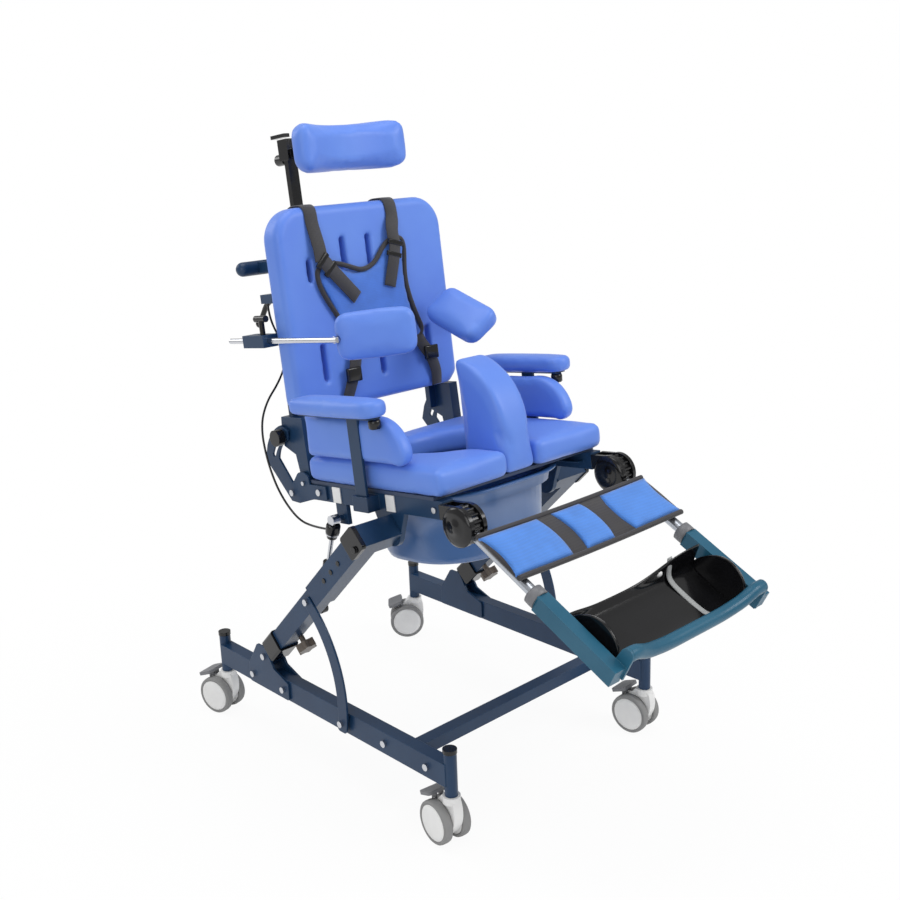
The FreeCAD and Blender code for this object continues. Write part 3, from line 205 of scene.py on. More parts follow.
def plated_steel(name, base, smooth):
    """Polished chrome on steel: mirror bright, with fine turning marks and a little haze."""
    tree, shader, place = start(name)
    haze = add(tree, "ShaderNodeTexNoise", {"Scale": 1 / 0.02, "Detail": 5}, {"Vector": place})
    # Turning marks are about 0.1 mm apart; drawn at 2 mm so that they show
    marks = add(tree, "ShaderNodeTexNoise", {"Scale": 1 / 0.002, "Detail": 1}, {"Vector": place})
    soft = add(tree, "ShaderNodeBevel", {"samples": 4, "Radius": 0.8 * MM})
    rough = add(tree, "ShaderNodeMapRange", {"To Min": smooth, "To Max": smooth + 0.16},
                {"Value": haze.outputs["Fac"]})
    bump = add(tree, "ShaderNodeBump", {"Strength": 0.05, "Distance": 0.1 * MM},
               {"Height": marks.outputs["Fac"], "Normal": soft.outputs["Normal"]})
    shader.inputs["Base Color"].default_value = base
    shader.inputs["Metallic"].default_value = 1
    tree.links.new(rough.outputs[0], shader.inputs["Roughness"])
    tree.links.new(bump.outputs[0], shader.inputs["Normal"])


def moulded_plastic(name, base, low, high, grain_mm, bevel_mm=1.2, worn=None):
    """Injection-moulded plastic: an even colour with faint broad patches of a second tone, a fine tool
    texture and softened edges.
    """
    tree, shader, place = start(name)
    grain = add(tree, "ShaderNodeTexNoise", {"Scale": 1 / (grain_mm * MM), "Detail": 4}, {"Vector": place})
    cloud = add(tree, "ShaderNodeTexNoise", {"Scale": 1 / 0.05, "Detail": 3}, {"Vector": place})
    soft = add(tree, "ShaderNodeBevel", {"samples": 4, "Radius": bevel_mm * MM})
    lift = worn or tuple(min(1, c * 1.5 + 0.006) for c in base[:3]) + (1,)
    mix = add(tree, "ShaderNodeMix", {"data_type": "RGBA"})
    mix.inputs[6].default_value = base
    mix.inputs[7].default_value = lift
    share = add(tree, "ShaderNodeMapRange", {"From Min": 0.35, "From Max": 0.75, "To Max": 0.5},
                {"Value": cloud.outputs["Fac"]})
    tree.links.new(share.outputs[0], mix.inputs[0])
    rough = add(tree, "ShaderNodeMapRange", {"To Min": low, "To Max": high}, {"Value": grain.outputs["Fac"]})
    bump = add(tree, "ShaderNodeBump", {"Strength": 0.12, "Distance": 0.2 * MM},
               {"Height": grain.outputs["Fac"], "Normal": soft.outputs["Normal"]})
    tree.links.new(mix.outputs[2], shader.inputs["Base Color"])
    tree.links.new(rough.outputs[0], shader.inputs["Roughness"])
    tree.links.new(bump.outputs[0], shader.inputs["Normal"])
    shader.inputs["IOR"].default_value = 1.49


def foam_skin(name, base, deep):
    """Self-skinned polyurethane foam: a smooth satin skin, fine-grained, with broad soft tone changes."""
    tree, shader, place = start(name)
    cloud = add(tree, "ShaderNodeTexNoise", {"Scale": 1 / 0.12, "Detail": 3}, {"Vector": place})
    # Skin cells are about 0.5 mm across; drawn at 2.5 mm so that they show
    cells = add(tree, "ShaderNodeTexVoronoi", {"feature": "SMOOTH_F1", "Scale": 1 / 0.0025},
                {"Vector": place})
    mix = add(tree, "ShaderNodeMix", {"data_type": "RGBA"})
    mix.inputs[6].default_value = base
    mix.inputs[7].default_value = deep
    share = add(tree, "ShaderNodeMapRange", {"From Min": 0.35, "From Max": 0.7, "To Max": 0.5},
                {"Value": cloud.outputs["Fac"]})
    tree.links.new(share.outputs[0], mix.inputs[0])
    rough = add(tree, "ShaderNodeMapRange", {"From Max": 0.8, "To Min": 0.36, "To Max": 0.5},
                {"Value": cells.outputs["Distance"]})
    bump = add(tree, "ShaderNodeBump", {"Strength": 0.1, "Distance": 0.2 * MM},
               {"Height": cells.outputs["Distance"]})
    tree.links.new(mix.outputs[2], shader.inputs["Base Color"])
    tree.links.new(rough.outputs[0], shader.inputs["Roughness"])
    tree.links.new(bump.outputs[0], shader.inputs["Normal"])
    shader.inputs["IOR"].default_value = 1.45
    shader.inputs["Sheen Weight"].default_value = 0.12
    shader.inputs["Sheen Roughness"].default_value = 0.4


def woven(name, base, thread_mm, depth, sheen):
    """Woven cloth or webbing: crossing threads with a painted highlight on them and painted shade between
    them, an uneven dye and a soft sheen.
    """
    tree, shader, place = start(name)
    bands = [
        add(tree, "ShaderNodeTexWave",
            {"bands_direction": way, "Scale": 0.32 / (thread_mm * MM), "Distortion": 0.6}, {"Vector": place})
        for way in ("X", "Z")
    ]
    weave = add(tree, "ShaderNodeMath", {"operation": "MULTIPLY"},
                {i: band.outputs["Fac"] for i, band in enumerate(bands)})
    dye = add(tree, "ShaderNodeTexNoise", {"Scale": 1 / 0.03, "Detail": 4}, {"Vector": place})
    # Painted light mixed with real dye: the crossing threads are painted paler as a painted highlight and the
    # gaps darker as painted shade, added to the uneven dye
    tone = add(tree, "ShaderNodeMath", {"operation": "MULTIPLY_ADD", 1: 0.45},
               {0: weave.outputs[0], 2: dye.outputs["Fac"]})
    mix = add(tree, "ShaderNodeMix", {"data_type": "RGBA"})
    mix.inputs[6].default_value = tuple(c * 0.78 for c in base[:3]) + (1,)
    mix.inputs[7].default_value = tuple(min(1, c * 1.22) for c in base[:3]) + (1,)
    tree.links.new(tone.outputs[0], mix.inputs[0])
    bump = add(tree, "ShaderNodeBump", {"Strength": depth, "Distance": 0.5 * MM},
               {"Height": weave.outputs[0]})
    rough = add(tree, "ShaderNodeMapRange", {"To Min": 0.62, "To Max": 0.85}, {"Value": weave.outputs[0]})
    tree.links.new(mix.outputs[2], shader.inputs["Base Color"])
    tree.links.new(rough.outputs[0], shader.inputs["Roughness"])
    tree.links.new(bump.outputs[0], shader.inputs["Normal"])
    shader.inputs["Sheen Weight"].default_value = sheen


def tinted_polypropylene(name, base):
    """Clear-tinted polypropylene: cloudy see-through plastic with soft gloss and faint darker clouds in its
    tint.
    """
    tree, shader, place = start(name)
    cloud = add(tree, "ShaderNodeTexNoise", {"Scale": 1 / 0.04, "Detail": 4}, {"Vector": place})
    rough = add(tree, "ShaderNodeMapRange", {"To Min": 0.22, "To Max": 0.4}, {"Value": cloud.outputs["Fac"]})
    mix = add(tree, "ShaderNodeMix", {"data_type": "RGBA"})
    mix.inputs[6].default_value = base
    mix.inputs[7].default_value = tuple(c * 0.82 for c in base[:3]) + (1,)
    tree.links.new(cloud.outputs["Fac"], mix.inputs[0])
    bump = add(tree, "ShaderNodeBump", {"Strength": 0.04, "Distance": 0.4 * MM},
               {"Height": cloud.outputs["Fac"]})
    tree.links.new(mix.outputs[2], shader.inputs["Base Color"])
    tree.links.new(rough.outputs[0], shader.inputs["Roughness"])
    tree.links.new(bump.outputs[0], shader.inputs["Normal"])
    shader.inputs["IOR"].default_value = 1.49
    shader.inputs["Specular IOR Level"].default_value = 0.35
    shader.inputs["Transmission Weight"].default_value = 0.08


def make_finishes():
    c = colours()
    powder_coat("powder_coat_navy", tuple(c.navy), tuple(c.navy_worn))
    powder_coat("powder_coat_teal", tuple(c.teal), tuple(c.teal_worn))
    plated_steel("chrome_plate", linear("#C9CBD0"), 0.08)
    plated_steel("drawn_steel_tube", linear("#B9BEC6"), 0.2)
    moulded_plastic("gloss_abs_black", tuple(c.black), 0.08, 0.2, 4, worn=linear("#151518"))
    moulded_plastic("nylon_bronze", tuple(c.bronze), 0.25, 0.45, 3)
    moulded_plastic("nylon_white", tuple(c.white), 0.3, 0.5, 3, worn=linear("#DADADA"))
    moulded_plastic("rubber_tyre_grey", tuple(c.tyre), 0.55, 0.8, 3, worn=linear("#7C7C7C"))
    moulded_plastic("nylon_pedal_grey", tuple(c.pedal), 0.35, 0.55, 3)
    moulded_plastic("seat_board_laminate", linear("#2B3A55"), 0.4, 0.6, 5)
    foam_skin("foam_skin_blue", tuple(c.pads), tuple(c.pads_dark))
    woven("polyester_webbing", tuple(c.webbing), 3, 0.5, 0.25)
    woven("padded_cloth_blue", tuple(c.cloth), 3, 0.3, 0.35)
    woven("padded_cloth_bright", tuple(c.calf_cloth), 3, 0.3, 0.25)
    woven("bias_binding_black", tuple(c.binding), 2.5, 0.4, 0.2)
    woven("woven_strap_grey", linear("#9A9C9C"), 2.5, 0.3, 0.2)
    tinted_polypropylene("polypropylene_tint", tuple(c.pan))


def dress(finish, *nodes):
    """Gives carried-over nodes their finish."""
    for node in nodes:
        data = NODES[node].data
        data.materials.clear()
        data.materials.append(FINISHES[finish])


def show(name, mesh, finish, body, smooth=True):
    """A new piece from a mesh that is already in place."""
    piece = bpy.data.objects.new(name, mesh)
    bpy.context.scene.collection.objects.link(piece)
    mesh.materials.clear()
    mesh.materials.append(FINISHES[finish])
    mesh.polygons.foreach_set("use_smooth", [smooth] * len(mesh.polygons))
    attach(piece, body)
    return piece


def mesh_of(name, spots, faces, place=None):
    mesh = bpy.data.meshes.new(name)
    mesh.from_pydata([tuple(place @ Vector(s)) if place else tuple(s) for s in spots], [], faces)
    mesh.validate()
    mesh.update()
    return mesh


def loft(rings, closed_ends=True):
    """Spots and faces of a skin over rings that all have the same count of points."""
    count = len(rings[0])
    spots = [p for ring in rings for p in ring]
    faces = []
    for i in range(len(rings) - 1):
        for j in range(count):
            k = (j + 1) % count
            faces.append((i * count + j, i * count + k, (i + 1) * count + k, (i + 1) * count + j))
    if closed_ends:
        faces.append(tuple(range(count))[::-1])
        faces.append(tuple((len(rings) - 1) * count + j for j in range(count)))
    return spots, faces


def flowing(spots, steps=8, closed=False):
    """Points on a smooth line through the spots."""
    spots = [Vector(s) for s in spots]
    last = len(spots)
    line = []
    for i in range(last if closed else last - 1):
        near = (i - 1, i, i + 1, i + 2)
        a, b, c, d = (spots[k % last if closed else min(max(k, 0), last - 1)] for k in near)
        for step in range(steps):
            t = step / steps
            line.append(0.5 * (2 * b + (c - a) * t + (2 * a - 5 * b + 4 * c - d) * t * t
                               + (3 * b - a - 3 * c + d) * t ** 3))
    if not closed:
        line.append(spots[-1])
    return line


def ribbon(name, spots, across, wide, thick, place, finish, body, steps=8):
    """Flat webbing along a line, with slightly rounded selvedges."""
    line = flowing(spots, steps)
    across = Vector(across).normalized()
    rings = []
    for i, here in enumerate(line):
        along = (line[min(i + 1, len(line) - 1)] - line[max(i - 1, 0)]).normalized()
        side = (across - along * across.dot(along)).normalized()
        up = along.cross(side)
        w, t = wide / 2, thick / 2
        section = ((-w, 0), (-w + 1, -t), (0, -t), (w - 1, -t), (w, 0), (w - 1, t), (0, t * 1.3), (-w + 1, t))
        rings.append([here + side * a + up * b for a, b in section])
    return show(name, mesh_of(name, *loft(rings), place), finish, body)


def rounded_block(name, wide, deep, tall, place, finish, body, soft=0.35):
    """A moulded block with rounded edges, from a bevelled cage."""
    cage = bmesh.new()
    bmesh.ops.create_cube(cage, size=1)
    bmesh.ops.scale(cage, vec=(wide, deep, tall), verts=cage.verts)
    edge = soft * min(wide, deep, tall)
    bmesh.ops.bevel(cage, geom=cage.edges[:], offset=edge, segments=3, profile=0.6, affect="EDGES")
    cage.transform(place)
    mesh = bpy.data.meshes.new(name)
    cage.to_mesh(mesh)
    cage.free()
    return show(name, mesh, finish, body)


def turned(name, profile, hub, axle, finish, body, steps=56):
    """A piece turned on a lathe: radius and place along the axle for each point of its profile."""
    axle = Vector(axle).normalized()
    side = axle.orthogonal().normalized()
    up = axle.cross(side)
    rings = []
    for i in range(steps):
        spin = 2 * math.pi * i / steps
        out = side * math.cos(spin) + up * math.sin(spin)
        rings.append([Vector(hub) + (out * r + axle * a) * MM for r, a in profile])
    spots, faces = loft(rings + [rings[0]], False)
    piece = show(name, mesh_of(name, spots, faces), finish, body)
    bm = bmesh.new()
    bm.from_mesh(piece.data)
    bmesh.ops.remove_doubles(bm, verts=bm.verts, dist=1e-5)
    bmesh.ops.recalc_face_normals(bm, faces=bm.faces)
    bm.to_mesh(piece.data)
    bm.free()
    return piece


def settled(piece):
    """The piece's mesh with its modifiers worked in."""
    graph = bpy.context.evaluated_depsgraph_get()
    mesh = bpy.data.meshes.new_from_object(piece.evaluated_get(graph))
    piece.modifiers.clear()
    old = piece.data
    piece.data = mesh
    bpy.data.meshes.remove(old)
    return mesh


def solids_of(node):
    """The separate solids of a node as meshes, lowest first."""
    whole = bmesh.new()
    whole.from_mesh(NODES[node].data)
    bmesh.ops.remove_doubles(whole, verts=whole.verts, dist=1e-6)
    left = set(whole.verts)
    groups = []
    while left:
        group, edge = set(), [left.pop()]
        while edge:
            spot = edge.pop()
            group.add(spot)
            near = {e.other_vert(spot) for e in spot.link_edges} & left
            left -= near
            edge += near
        groups.append(group)
    groups.sort(key=lambda g: sum(v.co.z for v in g) / len(g))
    numbers = [{v.index for v in g} for g in groups]
    meshes = []
    for i, keep in enumerate(numbers):
        one = whole.copy()
        bmesh.ops.delete(one, geom=[v for v in one.verts if v.index not in keep], context="VERTS")
        mesh = bpy.data.meshes.new(f"{node}_{i}")
        one.to_mesh(mesh)
        one.free()
        meshes.append(mesh)
    whole.free()
    return meshes


def stuffed(name, node, body, finish, cap_mm, voxel=None, rounds=6, mesh=None):
    """A pad swollen by a cloth run from a smoothed copy of its solid, with each point's travel capped."""
    piece = bpy.data.objects.new(name, mesh or NODES[node].data.copy())
    bpy.context.scene.collection.objects.link(piece)
    grain = piece.modifiers.new("Grain", "REMESH")
    grain.mode = "VOXEL"
    grain.voxel_size = voxel or sizes().pad_voxel
    ease = piece.modifiers.new("Ease", "SMOOTH")
    ease.iterations = rounds
    ease.factor = 0.5
    bpy.context.view_layer.update()
    mesh = settled(piece)
    count = len(mesh.vertices)
    at_start = np.empty(count * 3)
    mesh.vertices.foreach_get("co", at_start)
    at_start = at_start.reshape(-1, 3)
    if cap_mm:
        cloth = piece.modifiers.new("Cloth", "CLOTH")
        cloth.settings.use_pressure = True
        cloth.settings.uniform_pressure_force = CLOTH_PRESSURE
        cloth.settings.effector_weights.gravity = 0
        cloth.settings.quality = 4
        cloth.point_cache.frame_start = 1
        cloth.point_cache.frame_end = CLOTH_FRAMES
        for step in range(1, CLOTH_FRAMES + 1):
            bpy.context.scene.frame_set(step)
        mesh = settled(piece)
        bpy.context.scene.frame_set(1)
        swollen = np.empty(count * 3)
        mesh.vertices.foreach_get("co", swollen)
        travel = swollen.reshape(-1, 3) - at_start
        far = np.linalg.norm(travel, axis=1, keepdims=True)
        travel *= np.minimum(1, cap_mm * MM / np.maximum(far, 1e-9))
        mesh.vertices.foreach_set("co", (at_start + travel).ravel())
        mesh.update()
    ease = piece.modifiers.new("Ease", "SMOOTH")
    ease.iterations = 4
    ease.factor = 0.5
    bpy.context.view_layer.update()
    mesh = settled(piece)
    mesh.materials.clear()
    mesh.materials.append(FINISHES[finish])
    mesh.polygons.foreach_set("use_smooth", [True] * len(mesh.polygons))
    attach(piece, body)
    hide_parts(node)
    return piece


def bent_rod(name, spots, radius_mm, place, finish, body, closed=False):
    """A round rod or bound edge along a smooth line through its control points."""
    data = bpy.data.curves.new(name, "CURVE")
    data.dimensions = "3D"
    data.bevel_depth = radius_mm * MM
    data.bevel_resolution = 3
    data.resolution_u = 10
    line = data.splines.new("NURBS")
    line.points.add(len(spots) - 1)
    for point, spot in zip(line.points, spots):
        point.co = (*(place @ Vector(spot)), 1) if place else (*spot, 1)
    line.order_u = 3
    line.use_cyclic_u = closed
    line.use_endpoint_u = not closed
    data.use_fill_caps = True
    piece = bpy.data.objects.new(name, data)
    bpy.context.scene.collection.objects.link(piece)
    data.materials.append(FINISHES[finish])
    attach(piece, body)
    return piece


class CHAIR_OT_stage(bpy.types.Operator):
    """Makes the finishes, the white floor, the studio lights and the camera"""

    bl_idname = "chair.stage"
    bl_label = "Studio"

    def execute(self, context):
        make_finishes()
        scene = context.scene
        scene.view_settings.view_transform = "Standard"
        self.floor(scene)
        self.lights(scene)
        self.camera(scene)
        return {"FINISHED"}

    def floor(self, scene):
        mesh = mesh_of("studio_floor", [(-9, -9, 0), (9, -9, 0), (9, 9, 0), (-9, 9, 0)], [(0, 1, 2, 3)])
        floor = bpy.data.objects.new("studio_floor", mesh)
        scene.collection.objects.link(floor)
        tree, shader, place = start("studio_paper")
        shader.inputs["Base Color"].default_value = linear("#F4F4F4")
        shader.inputs["Roughness"].default_value = 0.9
        seen = add(tree, "ShaderNodeLightPath")
        straight = add(tree, "ShaderNodeMath", {"operation": "MAXIMUM"},
                       {0: seen.outputs["Is Camera Ray"], 1: seen.outputs["Is Glossy Ray"]})
        through = add(tree, "ShaderNodeMath", {"operation": "MAXIMUM"},
                      {0: straight.outputs[0], 1: seen.outputs["Is Transmission Ray"]})
        # The paper turns pure white a little over a metre away from the chair
        away = add(tree, "ShaderNodeVectorMath", {"operation": "LENGTH"}, {0: place})
        white = add(tree, "ShaderNodeMapRange", {"From Min": 0.4, "From Max": 1.3, "To Min": 0.93},
                    {"Value": away.outputs["Value"]})
        share = add(tree, "ShaderNodeMath", {"operation": "MULTIPLY"},
                    {0: through.outputs[0], 1: white.outputs[0]})
        glow = add(tree, "ShaderNodeEmission", {"Color": (1, 1, 1, 1), "Strength": 1})
        mix = add(tree, "ShaderNodeMixShader", None,
                  {0: share.outputs[0], 1: shader.outputs[0], 2: glow.outputs[0]})
        tree.links.new(mix.outputs[0], tree.nodes["Material Output"].inputs["Surface"])
        mesh.materials.append(FINISHES["studio_paper"])

    def lights(self, scene):
        world = bpy.data.worlds.new("studio_air")
        scene.world = world
        world.use_nodes = True
        tree = world.node_tree
        seen = add(tree, "ShaderNodeLightPath")
        direct = add(tree, "ShaderNodeMath", {"operation": "MAXIMUM"},
                     {0: seen.outputs["Is Camera Ray"], 1: seen.outputs["Is Transmission Ray"]})
        strength = add(tree, "ShaderNodeMapRange", {"To Min": 0.5, "To Max": 1.0},
                       {"Value": direct.outputs[0]})
        background = tree.nodes["Background"]
        background.inputs["Color"].default_value = (1, 1, 1, 1)
        tree.links.new(strength.outputs[0], background.inputs["Strength"])
        lamps = (
            ("key", (1.6, -2.6, 2.7), 1.6, 56),
            ("fill", (-3.2, -1.6, 1.9), 2.2, 26),
            ("top", (-0.2, 0.3, 3.2), 2.0, 32),
            ("rim", (-1.2, 2.9, 2.2), 1.4, 18),
        )
        aim = Vector((0, 0, 0.55))
        for name, spot, wide, watts in lamps:
            data = bpy.data.lights.new("studio_" + name, "AREA")
            data.shape = "SQUARE"
            data.size = wide
            data.energy = watts
            lamp = bpy.data.objects.new("studio_" + name, data)
            lamp.location = spot
            lamp.rotation_euler = (aim - Vector(spot)).to_track_quat("-Z", "Y").to_euler()
            scene.collection.objects.link(lamp)

    def camera(self, scene):
        turn, pitch, roll = (math.radians(a) for a in CAMERA_ANGLES)
        back = Vector((math.sin(turn) * math.cos(pitch), -math.cos(turn) * math.cos(pitch), math.sin(pitch)))
        right = Vector((math.cos(turn), math.sin(turn), 0))
        up = back.cross(right)
        across = right * math.cos(roll) + up * math.sin(roll)
        upright = up * math.cos(roll) - right * math.sin(roll)
        data = bpy.data.cameras.new("photo_camera")
        data.sensor_width = 36
        data.lens = CAMERA_LENS
        camera = bpy.data.objects.new("photo_camera", data)
        camera.matrix_world = Matrix((
            (across.x, upright.x, back.x, CAMERA_SPOT[0]),
            (across.y, upright.y, back.y, CAMERA_SPOT[1]),
            (across.z, upright.z, back.z, CAMERA_SPOT[2]),
            (0, 0, 0, 1),
        ))
        scene.collection.objects.link(camera)
        scene.camera = camera


class CHAIR_OT_frame(bpy.types.Operator):
    """Gives the tubes, plates, bolts, knobs and rods their finishes"""

    bl_idname = "chair.frame"
    bl_label = "Frame finishes"

    def execute(self, context):
        dress("powder_coat_navy", "base_rails", "base_cross_tube", "leg_gussets", "lower_legs", "leg_braces",
              "upper_legs", "seat_rails", "recline_brackets", "arm_frame_right", "arm_frame_left",
              "back_frame", "push_bar", "lateral_clamps", "headrest_receiver")
        dress("powder_coat_teal", "foot_tubes", "foot_bow")
        dress("chrome_plate", "base_bolts", "seat_bolts", "gas_rod", "lateral_rod_right", "lateral_rod_left")
        dress("drawn_steel_tube", "legrest_tubes")
        dress("gloss_abs_black", "base_caps", "elbow_caps", "legrest_hubs", "clamp_knobs", "release_lever",
              "headrest_bar", "headrest_hinge", "gas_cylinder")
        dress("nylon_bronze", "height_knob_right", "height_knob_left")
        dress("nylon_white", "seat_clips")
        dress("seat_board_laminate", "seat_board")
        return {"FINISHED"}


class CHAIR_OT_pads(bpy.types.Operator):
    """Makes the foam pads of the seat, back, head, arms and sides"""

    bl_idname = "chair.pads"
    bl_label = "Foam pads"

    def execute(self, context):
        for name, node, body, cap, voxel in (
            ("seat_cushion", "seat_pad", "seat", 4, 5), ("back_shell", "back_pad", "back", 0, 3),
            ("head_cushion", "headrest_pad", "headrest", 5, 5),
            ("pommel_cushion", "pommel", "pommel_block", 3, 4),
            ("side_cushion_right", "lateral_pad_right", "lateral_right", 3, 4),
            ("side_cushion_left", "lateral_pad_left", "lateral_left", 3, 4),
        ):
            stuffed(name, node, body, "foam_skin_blue", cap, voxel * MM)
        for side in ("right", "left"):
            for pad, solid in zip(("thigh_cushion_", "arm_cushion_"), solids_of("arm_pads_" + side)):
                stuffed(pad + side, "arm_pads_" + side, "arm_" + side, "foam_skin_blue",
                        2.5, 4 * MM, mesh=solid)
        return {"FINISHED"}


class CHAIR_OT_harness(bpy.types.Operator):
    """Makes the chest vest, its bound edge, the webbing and the buckles"""

    bl_idname = "chair.harness"
    bl_label = "Harness"

    vest_line = (
        (40, 404), (70, 414), (88, 402), (79, 346), (82, 311), (94, 269), (112, 226), (60, 216),
        (-20, 214), (-70, 218), (-72, 252), (-86, 282), (-105, 312), (-119, 341), (-122, 366),
        (-112, 378), (-79, 380), (-52, 371), (-19, 359), (12, 370),
    )

    def execute(self, context):
        place = back_frame()
        stuffed("vest_cloth", "chest_vest", "back", "padded_cloth_blue", 2, 3 * MM, 3)
        front = -22
        bent_rod("vest_binding", [(x, front, z) for x, z in self.vest_line], sizes().binding / MM, place,
                 "bias_binding_black", "back", closed=True)
        wide, thick = sizes().strap_wide / MM, sizes().strap_thick / MM
        for side, top, low, hang, flap in (
            ("right", -116, -113, 386, (-44, 313)), ("left", 67, 58, 402, (35, 324)),
        ):
            ribbon(
                f"shoulder_strap_{side}",
                [(top + 2, 35.5, 400), (top, 35.5, 455), (top, 33, 477), (top, 22, 484), (top, 6, 485),
                 (top, -9, 483), (top, -17, 474), (top, -20, 450), (low, -27, hang + 24),
                 (low, -29.5, hang - 2)],
                (1, 0, 0), wide, thick, place, "polyester_webbing", "back")
            lean = Vector((flap[0] - low, 0, flap[1] - hang)).normalized()
            ribbon(f"strap_tail_{side}",
                   [(low, -30.5, hang + 4), (low + lean.x * 22, -33, hang + lean.z * 22),
                    (flap[0], -29, flap[1])],
                   (lean.z, 0, -lean.x), wide * 0.96, thick, place, "polyester_webbing", "back")
            for step, drop in ((0, 0), (1, 22)):
                spot = Vector((low + lean.x * drop, -32, hang + lean.z * drop))
                turn = Matrix.Rotation(math.atan2(lean.x, -lean.z) * -1, 4, "Y")
                rounded_block(f"strap_slider_{side}_{step}", wide + 6, 5, 9,
                              place @ Matrix.Translation(spot) @ turn, "gloss_abs_black", "back")
        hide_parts("harness_straps")
        for side, line in (
            ("right", [(-60, -24, 222), (-66, -27, 198), (-75, -26, 171), (-87, -23, 142), (-92, -18, 124)]),
            ("left", [(92, -24, 226), (97, -28, 208), (115, -27, 183), (128, -24, 150), (130, -19, 124)]),
        ):
            ribbon(f"waist_strap_{side}", line, (1, 0, 0.25), 26, thick, place, "polyester_webbing", "back")
            x, y, z = line[2]
            rounded_block(f"waist_buckle_{side}", 32, 8, 26, place @ Matrix.Translation((x, y - 4, z + 6)),
                          "gloss_abs_black", "back")
        return {"FINISHED"}


class CHAIR_OT_pan(bpy.types.Operator):
    """Makes the commode pan with its stepped rim"""

    bl_idname = "chair.pan"
    bl_label = "Pan"

    def ring(self, half, front, rear, corner, high, steps=10):
        spots = []
        middle = (rear - front) / 2
        deep = (rear + front) / 2
        for sx, sy, start_turn in ((1, 1, 0), (-1, 1, 90), (-1, -1, 180), (1, -1, 270)):
            for i in range(steps + 1):
                turn = math.radians(start_turn + 90 * i / steps)
                spots.append((sx * (half - corner) + corner * math.cos(turn),
                              middle + sy * (deep - corner) + corner * math.sin(turn), high))
        return spots

    def execute(self, context):
        wall = sizes().pan_wall / MM
        low, high = -80, 50.5
        outside = [
            (163, 116, 174, 112, high), (163, 116, 174, 112, high - 4), (158, 112, 171, 110, high - 5),
            (153, 107, 170, 108, high - 8), (151, 104, 170, 108, high - 24), (142, 94, 167, 106, high - 27),
            (139, 89, 163, 104, -28), (136, 84, 158, 102, -66), (132, 80, 154, 100, -76),
            (122, 72, 145, 94, low),
        ]
        rings = [self.ring(*level) for level in outside]
        inside = [
            (half - wall, front - wall, rear - wall, corner - wall, level + (wall if level == low else 0))
            for half, front, rear, corner, level in outside[3:]
        ]
        inside.insert(0, (149, 103, 167, 106, high))
        rings = [self.ring(*level) for level in inside[::-1]] + rings
        spots, faces = loft(rings, True)
        mesh = mesh_of("pan_shell", spots, faces, seat_frame())
        pan = show("pan_shell", mesh, "polypropylene_tint", "pan")
        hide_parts("commode_pan")
        return {"FINISHED"}


class CHAIR_OT_calf_strap(bpy.types.Operator):
    """Makes the calf sling: a bound black band with three blue pads"""

    bl_idname = "chair.calf_strap"
    bl_label = "Calf strap"

    middle = -90
    half_wide = 200
    band_wide = 98

    def sag(self, x):
        """Height of the band, lowest halfway between the tubes."""
        return 14 - 4 * max(0, 1 - (x / 185) ** 2)

    def pad(self, name, x_low, x_high, bow, place):
        spots = []
        columns, rows = 20, 14
        for j in range(rows + 1):
            v = -1 + 2 * j / rows
            for i in range(columns + 1):
                u = -1 + 2 * i / columns
                x = (x_low + x_high) / 2 + u * (x_high - x_low) / 2 + bow * (1 - v * v)
                y = self.middle + v * 44
                puff = max(0, 1 - abs(u) ** 6) * max(0, 1 - abs(v) ** 6)
                spots.append((x, y, self.sag(x) + 3 + 7 * puff ** 0.6))
        across = columns + 1
        faces = [
            (j * across + i, j * across + i + 1, (j + 1) * across + i + 1, (j + 1) * across + i)
            for j in range(rows) for i in range(columns)
        ]
        mesh = mesh_of(name, spots, faces, place)
        piece = show(name, mesh, "padded_cloth_bright", "legrest")
        skin = piece.modifiers.new("Skin", "SOLIDIFY")
        skin.thickness = 4 * MM
        skin.offset = -1
        mesh = settled(piece)
        mesh.polygons.foreach_set("use_smooth", [True] * len(mesh.polygons))

    def execute(self, context):
        place = rest_frame()
        xs = range(-self.half_wide, self.half_wide + 1, 20)
        band = ribbon("calf_band", [(x, self.middle, self.sag(x)) for x in xs], (0, 1, 0), self.band_wide, 5,
                      place, "bias_binding_black", "legrest", 2)
        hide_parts("calf_strap")
        for name, low, high, bow in (("right", -202, -72, 8), ("middle", -38, 30, 8), ("left", 84, 202, -8)):
            self.pad("calf_pad_" + name, low, high, bow, place)
        for end, y in (("upper", -42), ("lower", -138)):
            bent_rod("calf_binding_" + end, [(x, y, self.sag(x) + 2) for x in xs], 4.5, place,
                     "bias_binding_black", "legrest")
        return {"FINISHED"}


